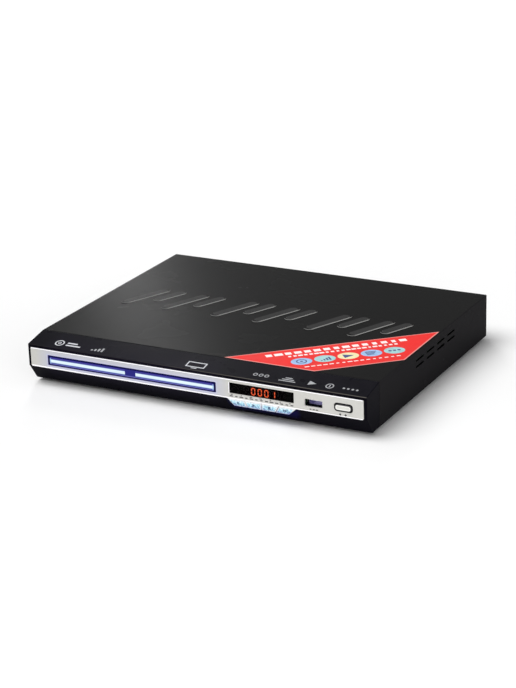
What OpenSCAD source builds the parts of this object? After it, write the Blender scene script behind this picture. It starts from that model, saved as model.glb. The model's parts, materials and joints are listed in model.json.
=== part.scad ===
// Tray-loading disc player: slim sheet-metal case, moulded front with a silver fascia,
// tray loader with rack drive, tilting traverse, boards, rear jacks and mains inlet.
// Case coordinates: X is 0 at the middle, Y is 0 at the vertical front face and grows
// to the back, Z is 0 at the underside of the bottom pan. in_case() places them in the
// part's frame, whose origin is under the middle of the whole object, on the table.

/* [Case] */
// Depth from the vertical front face to the back of the cover
case_d = 290; // [286:1:330]
// Height of the case without its feet
case_h = 44; // [44:0.5:60]
// Height of the feet
foot_h = 3; // [2:0.5:8]
// Radius of a foot
foot_r = 11; // [8:0.5:14]
// Thickness of the cover's steel sheet
cover_t = 0.8; // [0.6:0.1:1]
// Thickness of the bottom pan's steel sheet
pan_t = 1; // [0.8:0.1:1.2]
// Height of the pan's upturned side edges
pan_lip_h = 12; // [8:1:16]
// Thickness of the rear panel
rear_t = 1; // [0.8:0.1:1.2]
// Gap left between neighbouring case sheets
sheet_gap = 0.3; // [0.2:0.05:0.4]

/* [Cover] */
// Length of a side vent slot
vent_len = 18.4; // [12:0.2:22]
// Height of a side vent slot
vent_h = 2; // [1.5:0.1:2.6]
// Distance between vent slots along the side
vent_pitch = 25.4; // [24:0.2:28]
// Distance from the front face to the first vent slot's middle
vent_y = 120; // [100:1:140]
// Vent slots along each side
vent_cols = 4; // [2:1:5]
// Height of the upper vent row's middle above the pan
vent_z = 34.9; // [33:0.1:36]
// Distance between the two vent rows
vent_row = 6.2; // [5:0.1:7]
// Height of the raised ribs on the cover
rib_h = 0.6; // [0.4:0.1:1]
// Width of a raised rib
rib_w = 9.5; // [7:0.5:11]
// Length of a long rib
rib_long = 54; // [44:1:58]
// Length of a short rib
rib_short = 36; // [26:1:40]
// Distance between ribs of one group
rib_pitch = 23; // [21:0.5:25]
// Distance between rib groups
rib_group = 103; // [100:1:106]
// Lean of the ribs to the right
rib_lean = 24; // [10:1:30]
// Depth position of the ribs' middle
rib_y = 154; // [150:1:165]

/* [Front panel] */
// Depth of the sloped strip above the front face
front_d = 27.4; // [24:0.2:29]
// Height of the upper edge of the vertical face
face_top = 38.6; // [38:0.1:40]
// Height of the lower edge of the vertical face
face_low = 16.7; // [15:0.1:16.8]
// Setback of the bottom edge under the face
toe_y = 11.6; // [8:0.1:12]
// Wall of the moulded front panel
panel_t = 2.2; // [1.8:0.1:2.4]

/* [Row of things on the face, from left to right] */
// From the case's left side to the tray door
door_side = 22.5; // [18:0.5:30]
// From the tray door to the display window
door_gap = 13.9; // [10:0.1:20]
// From the display window to the port's opening
port_gap = 10.9; // [10:0.1:16]
// From the port's opening to the power key's collar
power_gap = 11.7; // [8:0.1:16]
// From the power key's collar to the case's right side
power_side = 13.7; // [13:0.1:20]

/* [Fascia] */
// Black border left at each end of the silver plate
fascia_side = 3; // [2:0.5:6]
// Height of the silver plate
fascia_h = 18.3; // [18:0.1:19]
// Height of the silver plate's middle
fascia_z = 26.25; // [26:0.05:26.5]
// Thickness of the silver plate
fascia_t = 1.6; // [1.4:0.1:1.8]
// How far the silver plate stands proud of the panel
fascia_proud = 0.4; // [0.2:0.1:0.5]

/* [Display and keys] */
// Width of the display window
window_w = 67; // [60:1:70]
// Height of the display window
window_h = 10.4; // [9:0.1:10.6]
// Height of the display window's middle
window_z = 27.1; // [26.8:0.1:27.4]
// Height of one digit
digit_h = 6.8; // [5:0.1:7.5]
// Width of one digit
digit_w = 4; // [3:0.1:4.6]
// Distance between digits
digit_pitch = 7.2; // [6:0.1:8]
// Width of the key row along its top
keys_top_w = 72.8; // [68:0.2:74]
// Width of the key row along its bottom
keys_low_w = 56.8; // [52:0.2:60]
// Height of the keys
key_h = 7.2; // [6:0.1:7.6]
// Gap between neighbouring keys
key_gap = 0.6; // [0.4:0.1:0.9]
// Travel of a key
key_travel = 0.7; // [0.4:0.1:0.8]

/* [Port and power key] */
// Height of the media port's middle
port_z = 24.8; // [24.5:0.1:25]
// Width of the media port's metal shell
port_w = 13.2; // [12.5:0.1:13.5]
// Height of the media port's metal shell
port_h = 5.8; // [5:0.1:5.8]
// Distance of the media port's mouth behind the front face
port_recess = 5; // [4.6:0.1:5.4]
// Height of the power key's middle
power_z = 25.4; // [25:0.1:25.8]
// Width of the power key's black collar
power_w = 18.4; // [17:0.1:19]
// Height of the power key's black collar
power_h = 8; // [7.4:0.1:8.4]
// How far the power key stands proud of the silver plate
power_proud = 1; // [0.8:0.1:1.2]
// Travel of the power key
power_travel = 2; // [1.2:0.1:2.2]

/* [Tray] */
// Width of the tray door
door_w = 184; // [178:1:188]
// Height of the tray door
door_h = 9.8; // [9.6:0.1:10]
// Height of the tray door's middle
door_z = 25; // [24.9:0.05:25.1]
// Thickness of the tray door
door_t = 3; // [2.6:0.1:3.2]
// Width of the tray
tray_w = 132; // [131:0.5:133]
// Depth of the tray behind its door
tray_len = 197; // [194:1:198]
// Thickness of the tray
tray_t = 7; // [6.8:0.1:7.2]
// Height of the tray's underside above the pan
tray_z = 20.6; // [20.6:0.1:20.8]
// Radius of the full-size disc recess
disc_r = 60.5; // [60.2:0.1:61]
// Radius of the small disc recess
small_disc_r = 40.5; // [40.2:0.1:41]
// Travel of the tray
tray_travel = 135; // [110:1:138]
// Width of the slot for the hub and pickup
slot_w = 44; // [43:0.5:46]

/* [Loader] */
// Front edge of the loader frame
loader_y = 34; // [33.5:0.5:34.5]
// Depth of the loader frame
loader_len = 172; // [171:1:176]
// Wall of the loader frame
loader_t = 3.5; // [3:0.1:3.8]
// Clearance between the tray and the loader frame
slide_gap = 0.4; // [0.3:0.05:0.5]
// Height of the loader floor's underside
deck_z = 9; // [8.8:0.1:9.2]
// Thickness of the loader floor
deck_t = 2; // [1.8:0.1:2.2]
// Depth position of the disc's middle
disc_y = 78; // [77.5:0.5:78.5]
// Tilt of the traverse when lowered
tilt = 3.4; // [3:0.1:3.5]
// Travel of the cam slider
cam_travel = 22; // [18:1:24]
// Travel of the optical pickup
pickup_travel = 34; // [28:1:36]
// Module of the rack and its gear
rack_m = 1; // [1:1:1]
// Teeth of the gear that drives the rack
rack_gear_n = 18; // [18:1:18]
// Module of the reduction and sled gears
fine_m = 0.8; // [0.8:0.8:0.8]
// Teeth of the large reduction gear
wheel_n = 32; // [32:4:32]
// Teeth of the pulley's pinion
pinion_n = 12; // [12:4:12]
// Teeth of the sled gear
sled_n = 16; // [16:4:16]
// Teeth of the sled motor's pinion
sled_pinion_n = 10; // [10:2:10]

/* [Boards and sockets] */
// Thickness of the circuit boards
board_t = 1.6; // [1.2:0.2:1.6]
// Height of the boards' underside above the pan
board_z = 8; // [6:0.5:9]
// Radius of a jack's barrel
jack_r = 4.15; // [4:0.05:4.2]
// Length of a jack's barrel behind the case
jack_out = 8.5; // [8:0.1:10]
// Distance between jacks
jack_pitch = 14; // [13:0.5:15]
// Jacks in a row
jack_cols = 5; // [3:1:5]
// From the case's left side to the mains inlet's middle
inlet_side = 40; // [32:1:60]
// Height of the mains inlet's middle
inlet_z = 20; // [16:0.5:24]

/* [Hidden] */
$fn = 48;
eps = 0.01;

// Places along the face, and the case's width that they add up to
port_open_w = port_w + 4.7;
port_open_h = port_h + 1.3;
case_w = door_side + door_w + door_gap + window_w + port_gap + port_open_w
    + power_gap + power_w + power_side;
half_w = case_w / 2;
loader_x = -half_w + door_side + door_w / 2;
window_x = loader_x + (door_w + window_w) / 2 + door_gap;
port_x = window_x + (window_w + port_open_w) / 2 + port_gap;
power_x = half_w - power_side - power_w / 2;
inlet_x = -half_w + inlet_side;

// Whole object, for the origin
rear_y = case_d + jack_out;
front_most = -(fascia_proud + power_proud);
front_y = -(rear_y + front_most) / 2;
fit = 0.3;

// Front panel
strip_slope = (case_h - face_top) / front_d;
lip_t = 1.6;
lip_d = 5;
fascia_w = case_w - 2 * fascia_side;
fascia_back = fascia_t - fascia_proud;
door_open_w = door_w + 2 * fit;
door_open_h = door_h + 2 * fit;
window_gap = 0.1;
keys_z = fascia_z - fascia_h / 2 - fit;
key_depth = 7.2;
key_stem_r = 1.6;
key_stem_len = 2;
key_sink = 0.1;
shell_t = 0.35;
collar_t = 0.9;

// Boards behind the front
fboard_y = 12;
fboard_x0 = window_x - 40;
fboard_x1 = window_x + 40;
fboard_z0 = 5.5;
fboard_z1 = 35.5;
switch_a = 6;
switch_d = 3.6;
key_bore = key_depth + key_stem_len + key_travel + 0.5 - (fboard_y - switch_d);
pboard_z = port_z - port_h / 2;
pboard_x0 = port_x - 9.5;
pboard_x1 = power_x + 12.5;
pboard_y0 = 6.6;
pboard_y1 = 34;
lamp_z = door_z + door_open_h / 2 + 1.4;

// Rear
rear_y1 = case_d - cover_t - sheet_gap;
rear_y0 = rear_y1 - rear_t;
pan_y0 = front_d + 0.4;
pan_y1 = rear_y0 - sheet_gap;
pan_x = half_w - cover_t - sheet_gap;
cover_y0 = front_d + 0.3;
rear_lip_h = 8;
rear_screws = [-half_w + 30, 0, half_w - 30];
hook_places = [for (i = [-1.5 : 1.5]) i * 80];

// Loader heights, raised position of the traverse
deck_top = deck_z + deck_t;
tray_top = tray_z + tray_t;
recess_z = tray_z + 3.6;
small_recess_z = recess_z - 1.4;
wall_in = tray_w / 2 + slide_gap;
wall_out = wall_in + loader_t;
wall_top = tray_top + 3.4;
ledge = 2.5;
well_x = 36;
well_y0 = disc_y - 20;
well_y1 = 178;
plate_t = 1.6;
pivot_y = disc_y + 92;
pivot_z = tray_z - 3.4;
plate_z = pivot_z - plate_t / 2;
plate_x = 31;
plate_y0 = disc_y - 18;
plate_y1 = pivot_y + 3;
support_z = pivot_z + 10.2;
cone_h = 1.8;
hub_r = 13;
cone_r = 7.4;
rotor_r = 12;
rotor_z = plate_z + plate_t + 1.4;
hub_z = support_z - 2.5;
puck_z = support_z + 1.4;
bridge_t = 1.2;
puck_r = 12.5;
puck_flange_r = 16;
pivot_r = 1.8;
bush_r = 2.6;

// Drive train
rack_r = rack_m * rack_gear_n / 2;
gear_side = 14.4;
gear_x = gear_side - wall_in;
gear_y = loader_y + 14;
rack_x = gear_x + rack_r;
rack_z = tray_z + fit;
rack_face = 2.2;
pocket_top = recess_z - 0.6;
wheel_r = fine_m * wheel_n / 2;
pinion_r = fine_m * pinion_n / 2;
short_add = 0.7;
gear_z0 = deck_top + fit;
wheel_face = 2.1;
pulley_z = gear_z0 + 2.5;
pulley_h = 2.4;
pulley_x = gear_x + wheel_r + pinion_r;
pulley_r = 10;
belt_s = 1;
belt_sink = 1.3;
motor_x = gear_x + 46;
motor_y = gear_y - 2.5;
motor_r = 8.5;
motor_top = pulley_z - 1.3;
motor_pulley_r = 3.6;
belt_z = pulley_z + pulley_h / 2;
gear_post_r = 2;
pulley_post_r = 1.5;
run_gap = 0.05;

// Cam slider and traverse pin
cam_y0 = well_y0 - 2.5;
cam_t = 1.8;
cam_pin_x = 24;
cam_pin_r = 1.5;
cam_pin_z = pivot_z - (pivot_y - cam_y0 - cam_t / 2) * sin(tilt);
cam_slot_w = 2 * cam_pin_r + 0.8;

// Sled
rod_x = 14;
rod_r = 1.5;
rod_z = plate_z - 3;
sled_y0 = disc_y + 16;
sled_len = 28;
sled_half = 18;
sled_top = support_z - 4.4;
sled_r = fine_m * sled_n / 2;
sled_pinion_r = fine_m * sled_pinion_n / 2;
sled_rack_x = sled_half + 1.6;
sled_gear_x = sled_rack_x + sled_r;
sled_gear_y = sled_y0 + sled_len - 6;
sled_gear_z = plate_z - 2.1;
sled_face = 1.7;
lens_y = disc_y + 24;
window_x0 = 19.5;

// Main boards and rear parts
mboard_x0 = loader_x + wall_out + 17.6;
mboard_y0 = disc_y + 18;
mboard = [mboard_x0, mboard_y0, half_w - 8 - mboard_x0, rear_y0 - 2 - mboard_y0];
pboard_y = loader_y + loader_len + 8;
pboard = [8 - half_w, pboard_y, 112, rear_y0 - 3 - pboard_y];
harness_y = pboard[1] + 0.66 * pboard[3];
board_top = board_z + board_t;
post_r = 3;
screw_r = 1.2;
head_r = 2.8;
head_h = 1.5;
jack_x = half_w - 85;
jack_z = board_top + 8;
jack_row = 13.4;
jack_core_r = jack_r - 0.3;
jack_deep = 11;
jack_core_len = 13;
jack_hole_r = 1.65;
harness_x = pboard[0] + 101;
inlet_w = 20;
inlet_h = 12;
sticker_t = 0.2;

// ---------------------------------------------------------------- helpers

module in_case() translate([0, front_y, foot_h]) children();

module in_loader() in_case() translate([loader_x, 0, 0]) children();

// Rest position of what rides on the traverse, drawn raised
module lowered()
    in_loader()
        translate([0, pivot_y, pivot_z])
            rotate([tilt, 0, 0])
                translate([0, -pivot_y, -pivot_z])
                    children();

// Box from its lowest to its highest corner
module block(low, high) translate(low) cube(high - low);

module block_shape(low, high) translate(low) square(high - low);

// A drawing in X and Z, extruded from y0 to y1
module along_y(y0, y1)
    translate([0, y1, 0])
        rotate([90, 0, 0])
            linear_extrude(y1 - y0)
                children();

// A drawing in Y and Z, extruded from x0 to x1
module along_x(x0, x1)
    translate([x0, 0, 0])
        rotate([90, 0, 90])
            linear_extrude(x1 - x0)
                children();

module round_rect(w, h, r) {
    square([w - 2 * r, h], center = true);
    square([w, h - 2 * r], center = true);
    for (sx = [-1, 1], sy = [-1, 1])
        translate([sx * (w / 2 - r), sy * (h / 2 - r)])
            circle(r);
}

module slot_shape(len, w) {
    square([len - w, w], center = true);
    for (s = [-1, 1])
        translate([s * (len - w) / 2, 0])
            circle(w / 2);
}

function left_normal(a, b) = let (v = b - a) [-v[1], v[0]] / norm(v);

// Outline moved inwards by d; its points run anticlockwise
function inset(p, d) = [for (i = [0 : len(p) - 1])
    let (
        before = p[(i + len(p) - 1) % len(p)],
        after = p[(i + 1) % len(p)],
        n1 = left_normal(before, p[i]),
        n2 = left_normal(p[i], after)
    )
    p[i] + (n1 + n2) * d / (1 + n1 * n2)];

// Involute tooth flank: half the tooth's angle at radius rho
function inv(a) = tan(a) * 180 / PI - a;
function half_tooth(rho, r, n, play) =
    let (base = r * cos(20), a = acos(min(1, base / rho)))
    90 / n - play * 90 / (PI * r) + inv(20) - inv(a);

// Outline of a spur gear with its first tooth along +X
function gear_points(m, n, add = 1, play = 0.14) =
    let (
        r = m * n / 2,
        root = r - 1.25 * m,
        low = max(root + 0.05 * m, r * cos(20)),
        tip = r + add * m,
        steps = 3,
        flank = [for (i = [0 : steps]) low + (tip - low) * i / steps]
    )
    [for (t = [0 : n - 1]) let (mid = t * 360 / n)
        each concat(
            [[root, mid - half_tooth(low, r, n, play)]],
            [for (i = [0 : steps]) [flank[i], mid - half_tooth(flank[i], r, n, play)]],
            [for (i = [steps : -1 : 0]) [flank[i], mid + half_tooth(flank[i], r, n, play)]],
            [[root, mid + half_tooth(low, r, n, play)]])];

module gear(m, n, h, add = 1)
    linear_extrude(h)
        polygon([for (p = gear_points(m, n, add)) p[0] * [cos(p[1]), sin(p[1])]]);

// Rack teeth from tooth `first` to `last`, along +Y, pointing to -X from the pitch line
function rack_points(m, first, last, back, add = 1, play = 0.14) =
    let (
        pitch = PI * m,
        tip = pitch / 4 - add * m * tan(20) - play / 2,
        root = pitch / 4 + 1.25 * m * tan(20) - play / 2
    )
    concat(
        [[back, (first - 0.5) * pitch]],
        [[1.25 * m, (first - 0.5) * pitch]],
        [for (k = [first : last]) each [
            [1.25 * m, k * pitch - root],
            [-add * m, k * pitch - tip],
            [-add * m, k * pitch + tip],
            [1.25 * m, k * pitch + root]]],
        [[1.25 * m, (last + 0.5) * pitch]],
        [[back, (last + 0.5) * pitch]]);

// Screw head with a cross recess, its seat at z 0 and its shank below
module screw(head, height, shank, len) {
    difference() {
        cylinder(r = head, h = height);
        for (a = [0, 90])
            rotate([0, 0, a])
                block([-head * 0.55, -0.35, height * 0.45], [head * 0.55, 0.35, height + 1]);
    }
    translate([0, 0, -len])
        cylinder(r = shank, h = len + eps);
}

// ---------------------------------------------------------------- case

foot_places = [for (x = [-1, 1], y = [46, case_d - 28]) [x * (half_w - 30), y]];
loader_places = [for (x = [-1, 1], y = [loader_y + 34, loader_y + loader_len - 10])
    [loader_x + x * (wall_in - 4.4), y]];
main_places = [for (x = [6, mboard[2] - 6], y = [6, mboard[3] - 30])
    [mboard[0] + x, mboard[1] + y]];
power_places = [for (x = [6, pboard[2] - 6], y = [6, pboard[3] - 6])
    [pboard[0] + x, pboard[1] + y]];

module bottom_pan()
    color([0.56, 0.57, 0.58])
    in_case()
    difference() {
        union() {
            block([-pan_x, pan_y0, 0], [pan_x, pan_y1, pan_t]);
            for (s = [-1, 1])
                block([s * pan_x - (s > 0 ? pan_t : 0), pan_y0, 0],
                      [s * pan_x + (s > 0 ? 0 : pan_t), pan_y1, pan_lip_h]);
            block([-pan_x, pan_y0, 0], [pan_x, pan_y0 + pan_t, pan_lip_h]);
            for (p = loader_places)
                translate([p[0], p[1], 0])
                    cylinder(r = 5, h = deck_z);
        }
        for (p = loader_places)
            translate([p[0], p[1], -1])
                cylinder(r = screw_r + 0.1, h = deck_z + 2);
        for (i = [0 : 7])
            translate([20 - half_w + i * 12, case_d - 50, -1])
                linear_extrude(pan_t + 2)
                    rotate([0, 0, 90])
                        slot_shape(40, 3);
        for (x = hook_places)
            block([x - 7, pan_y0 - 1, panel_t + 0.6], [x + 7, pan_y0 + pan_t + 1, panel_t + 3.4]);
    }

module rear_panel()
    color([0.1, 0.1, 0.1])
    in_case()
    difference() {
        block([-pan_x, rear_y0, 0], [pan_x, rear_y1, case_h - cover_t - sheet_gap]);
        along_y(rear_y0 - 1, rear_y1 + 1) {
            for (i = [0 : jack_cols - 1], k = [0, 1])
                translate([jack_place(i), jack_z + k * jack_row])
                    circle(jack_r + 0.15);
            translate([inlet_x, inlet_z])
                round_rect(inlet_w + 0.4, inlet_h + 0.4, 2.2);
            for (x = rear_screws)
                translate([x, case_h - rear_lip_h / 2])
                    circle(screw_r + 0.3);
            for (i = [0 : 9])
                translate([inlet_x + 45 + i * 9, case_h / 2])
                    rotate(90)
                        slot_shape(16, 3);
        }
    }

module cover_rib(len)
    linear_extrude(rib_h + cover_t / 2)
        rotate(90 - rib_lean)
            slot_shape(len / cos(rib_lean), rib_w);

module top_cover()
    color([0.17, 0.17, 0.17])
    in_case() {
        difference() {
            union() {
                block([-half_w, cover_y0, case_h - cover_t], [half_w, case_d, case_h]);
                for (s = [-1, 1])
                    block([s > 0 ? half_w - cover_t : -half_w, cover_y0, 0],
                          [s > 0 ? half_w : cover_t - half_w, case_d, case_h]);
                block([-half_w, case_d - cover_t, case_h - rear_lip_h],
                      [half_w, case_d, case_h]);
                for (g = [-1 : 1], i = [0 : 3])
                    translate([g * rib_group + (i - 1.5) * rib_pitch,
                               rib_y + (i % 2 == 0 ? 0 : (rib_long - rib_short) / 2),
                               case_h - cover_t / 2])
                        cover_rib(i % 2 == 0 ? rib_long : rib_short);
            }
            for (i = [0 : vent_cols - 1], k = [0, 1])
                along_x(-half_w - 1, half_w + 1)
                    translate([vent_y + i * vent_pitch, vent_z - k * vent_row])
                        slot_shape(vent_len, vent_h);
            along_y(case_d - cover_t - 1, case_d + 1)
                for (x = rear_screws)
                    translate([x, case_h - rear_lip_h / 2])
                        circle(screw_r + 0.3);
        }
    }

module cover_screws()
    color([0.12, 0.12, 0.12])
    in_case()
    for (x = rear_screws)
        translate([x, case_d, case_h - rear_lip_h / 2])
            rotate([-90, 0, 0])
                screw(head_r, head_h, screw_r, 6);

module feet()
    color([0.08, 0.08, 0.08])
    in_case()
    for (p = foot_places)
        translate([p[0], p[1], -foot_h])
            rotate_extrude()
                polygon([[0, 0], [foot_r - 1, 0], [foot_r, 1], [foot_r, foot_h], [0, foot_h]]);

module promo_sticker()
    color([0.93, 0.2, 0.2])
    in_case()
    translate([0, 0, case_h])
        linear_extrude(sticker_t)
            polygon([
                [half_w - 158.7, cover_y0 + 0.7], [half_w - 65.4, cover_y0 + 0.7],
                [half_w - 1.4, cover_y0 + 59.8], [half_w - 1.4, cover_y0 + 142.3]]);

// ---------------------------------------------------------------- front

function panel_outline(back) = [
    [toe_y, 0], [front_d + back, 0],
    [front_d + back, case_h + back * strip_slope],
    [0, face_top], [0, face_low]];

// Key row: share i of 4 along its top and bottom edge
function key_top_x(i) = window_x + keys_top_w * (i / 4 - 0.5);
function key_low_x(i) = window_x + keys_low_w * (i / 4 - 0.5);

module keys_shape(grow)
    polygon(inset([
        [key_low_x(0), keys_z - key_h], [key_low_x(4), keys_z - key_h],
        [key_top_x(4), keys_z], [key_top_x(0), keys_z]], -grow));

module face_openings(grow) {
    translate([loader_x, door_z])
        round_rect(door_open_w + 2 * grow, door_open_h + 2 * grow, 0.8);
    translate([window_x, window_z])
        round_rect(window_w + 2 * grow, window_h + 2 * grow, 0.6);
    translate([port_x, port_z])
        round_rect(port_open_w + 2 * grow, port_open_h + 2 * grow, 1);
}

panel_posts = [for (x = [fboard_x0 + 2.8, fboard_x1 - 2.8]) [x, fboard_z1 - 3]];

// Hook at the panel's lower edge, through a slot in the pan's front edge
module panel_hook(x) {
    block([x - 6, front_d - 4, panel_t - 1], [x + 6, front_d - 0.5, panel_t + 3]);
    block([x - 6, front_d - 1, panel_t + 1], [x + 6, pan_y0 + pan_t + 3, panel_t + 3]);
}

module front_panel()
    color([0.13, 0.13, 0.14])
    in_case()
    difference() {
        union() {
            difference() {
                along_x(-half_w, half_w)
                    polygon(panel_outline(0));
                along_x(panel_t - half_w, half_w - panel_t)
                    polygon(inset(panel_outline(20), panel_t));
            }
            block([12 - half_w, front_d - 4, case_h - cover_t - sheet_gap - lip_t],
                  [half_w - 12, front_d + lip_d, case_h - cover_t - sheet_gap]);
            for (x = hook_places)
                panel_hook(x);
            for (p = panel_posts)
                translate([p[0], panel_t - 0.5, p[1]])
                    rotate([-90, 0, 0])
                        cylinder(r = 2.4, h = fboard_y - panel_t + 0.5);
            for (x = [pboard_x0 + 1, pboard_x1 - 3])
                block([x, panel_t - 0.5, pboard_z - board_t - 3],
                      [x + 2, pboard_y1 - 10, pboard_z - board_t]);
            translate([power_x, 0, power_z])
                along_y(-fascia_proud, panel_t)
                    round_rect(power_w, power_h, 3);
        }
        difference() {
            translate([0, 0, fascia_z])
                along_y(-1, fascia_back)
                    square([fascia_w + 0.4, fascia_h + 0.4], center = true);
            translate([power_x, 0, power_z])
                along_y(-2, fascia_back + 1)
                    round_rect(power_w, power_h, 3);
        }
        along_y(-2, panel_t + 4)
            face_openings(0);
        along_y(-2, toe_y + 3)
            keys_shape(0.25);
        translate([power_x, 0, power_z])
            along_y(-2, panel_t + 2)
                round_rect(power_w - 2 * collar_t, power_h - 2 * collar_t, 2.2);
        for (p = panel_posts)
            translate([p[0], fboard_y - 6, p[1]])
                rotate([-90, 0, 0])
                    cylinder(r = screw_r + 0.1, h = 8);
    }

module silver_fascia()
    color([0.84, 0.85, 0.86])
    in_case()
    along_y(-fascia_proud, fascia_back)
        difference() {
            translate([0, fascia_z])
                round_rect(fascia_w, fascia_h, 0.6);
            face_openings(0);
            translate([power_x, power_z])
                round_rect(power_w + 0.3, power_h + 0.3, 3);
        }

module display_window()
    color([0.03, 0.03, 0.035])
    in_case()
    translate([window_x, 0, window_z]) {
        along_y(-fascia_proud / 2, panel_t + 1.2)
            round_rect(window_w - 2 * window_gap, window_h - 2 * window_gap, 0.5);
        along_y(panel_t + 0.1, panel_t + 1.2)
            round_rect(window_w + 1.6, window_h + 2, 1);
    }

module_y = panel_t + 1.8;

module display_module()
    color([0.14, 0.13, 0.13])
    in_case()
    block([window_x - 18, module_y, window_z - 6], [window_x + 18, fboard_y, window_z + 6]);

// Seven-segment strokes: [x, z, length, lies flat]
function segments(n) = [
    if (n != 1 && n != 4) 0, if (n != 5 && n != 6) 1, if (n != 2) 2,
    if (n != 1 && n != 4 && n != 7) 3, if (n == 0 || n == 2 || n == 6 || n == 8) 4,
    if (n != 1 && n != 2 && n != 3 && n != 7) 5, if (n != 0 && n != 1 && n != 7) 6];

module segment(s) {
    w = digit_w / 2;
    h = digit_h / 2;
    at = [[0, h], [w, h / 2], [w, -h / 2], [0, -h], [-w, -h / 2], [-w, h / 2], [0, 0]][s];
    flat = s == 0 || s == 3 || s == 6;
    translate(at)
        square(flat ? [digit_w - 1, 0.8] : [0.8, h - 1], center = true);
}

module display_digits()
    color([1, 0.35, 0.15])
    in_case()
    for (i = [0 : 3])
        translate([window_x + (i - 1.5) * digit_pitch, 0, window_z])
            along_y(module_y - 0.3, module_y)
                for (s = segments([0, 0, 0, 1][i]))
                    segment(s);

module front_board()
    color([0.1, 0.35, 0.2])
    in_case()
    difference() {
        block([fboard_x0, fboard_y, fboard_z0], [fboard_x1, fboard_y + board_t, fboard_z1]);
        for (p = panel_posts)
            translate([p[0], fboard_y - 1, p[1]])
                rotate([-90, 0, 0])
                    cylinder(r = screw_r + 0.3, h = board_t + 2);
    }

function key_mid(i) = (key_top_x(i) + key_top_x(i + 1) + key_low_x(i) + key_low_x(i + 1)) / 4;
key_mid_z = keys_z - key_h / 2;

module key_switches()
    color([0.2, 0.2, 0.2])
    in_case()
    for (i = [0 : 3])
        translate([key_mid(i), 0, key_mid_z])
            difference() {
                block([-switch_a / 2, fboard_y - switch_d, -switch_a / 2],
                      [switch_a / 2, fboard_y, switch_a / 2]);
                translate([0, fboard_y - switch_d - 1, 0])
                    rotate([-90, 0, 0])
                        cylinder(r = key_stem_r + 0.3, h = key_bore + 1);
            }

// One key of the row, from its left and right edge
module row_key(i)
    in_case() {
        along_y(key_sink - fascia_proud, key_depth)
            polygon(inset([
                [key_low_x(i), keys_z - key_h], [key_low_x(i + 1), keys_z - key_h],
                [key_top_x(i + 1), keys_z], [key_top_x(i), keys_z]], key_gap / 2));
        translate([key_mid(i), key_depth - eps, key_mid_z])
            rotate([-90, 0, 0])
                cylinder(r = key_stem_r, h = key_stem_len);
    }

module open_key() color([0.75, 0.85, 0.95]) row_key(0);
module play_key() color([0.75, 0.85, 0.95]) row_key(1);
module stop_key() color([0.75, 0.85, 0.95]) row_key(2);
module skip_key() color([0.75, 0.85, 0.95]) row_key(3);

module port_board()
    color([0.1, 0.35, 0.2])
    in_case()
    block([pboard_x0, pboard_y0, pboard_z - board_t], [pboard_x1, pboard_y1, pboard_z]);

module port_shell()
    color([0.75, 0.75, 0.76])
    in_case()
    translate([port_x, 0, port_z])
        difference() {
            along_y(port_recess, port_recess + 14)
                square([port_w, port_h], center = true);
            along_y(port_recess - 1, port_recess + 13.4)
                square([port_w - 2 * shell_t, port_h - 2 * shell_t], center = true);
        }

module port_tongue()
    color([0.92, 0.92, 0.93])
    in_case()
    translate([port_x, 0, port_z]) {
        block([-5.6, port_recess + 1, 0.4], [5.6, port_recess + 11, 2.2]);
        block([-5.9, port_recess + 11 - eps, -2.1], [5.9, port_recess + 13, 2.2]);
    }

power_inner_w = power_w - 2 * collar_t - 0.5;
power_inner_h = power_h - 2 * collar_t - 0.5;
switch_y = panel_t + 8;
power_stem_y = switch_y + 0.3;

module power_key()
    color([0.8, 0.81, 0.82])
    in_case()
    translate([power_x, 0, power_z]) {
        along_y(front_most, panel_t + 0.4)
            round_rect(power_inner_w, power_inner_h, 2);
        along_y(panel_t + 0.3, panel_t + 1.3)
            round_rect(power_w - 0.8, power_h - 0.8, 2.6);
        along_y(panel_t + 1.2, power_stem_y)
            square([3.6, 3], center = true);
    }

module power_switch()
    color([0.15, 0.15, 0.16])
    in_case()
    difference() {
        block([power_x - 4.5, switch_y, pboard_z], [power_x + 4.5, switch_y + 12, power_z + 4]);
        translate([power_x, 0, power_z])
            along_y(switch_y - 1, power_stem_y + power_travel + 0.9)
                square([4.4, 3.8], center = true);
    }

module lamp_board()
    color([0.9, 0.9, 0.9])
    in_case()
    block([loader_x - door_w / 2 + 6, panel_t, lamp_z],
          [loader_x + door_w / 2 - 6, panel_t + 6, lamp_z + 1.2]);

module lamps()
    color([0.6, 0.75, 1])
    in_case()
    for (i = [0 : 5])
        translate([loader_x + (i - 2.5) * (door_w - 34) / 5, panel_t + 3, 0])
            block([-1.6, -1.3, lamp_z - 1], [1.6, 1.3, lamp_z]);

// ---------------------------------------------------------------- tray

door_y = -fascia_proud / 2;
bar_h = 3.4;
bar_t = 1.4;
bar_gap = 13;

module door_bar_shape(grow)
    for (s = [-1, 1])
        translate([s * (door_w + bar_gap - 5) / 4, 0.2])
            square([(door_w - bar_gap - 5) / 2 + 2 * grow, bar_h + 2 * grow], center = true);

module tray_door()
    color([0.3, 0.35, 0.75, 0.8])
    in_loader()
    translate([0, 0, door_z])
        difference() {
            along_y(door_y, door_y + door_t)
                round_rect(door_w, door_h, 0.5);
            along_y(door_y + door_t - bar_t - 0.1, door_y + door_t + 1)
                door_bar_shape(0.1);
        }

module door_light_bars()
    color([0.8, 0.92, 1])
    in_loader()
    translate([0, 0, door_z])
        along_y(door_y + door_t - bar_t, door_y + door_t)
            door_bar_shape(0);

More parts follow.
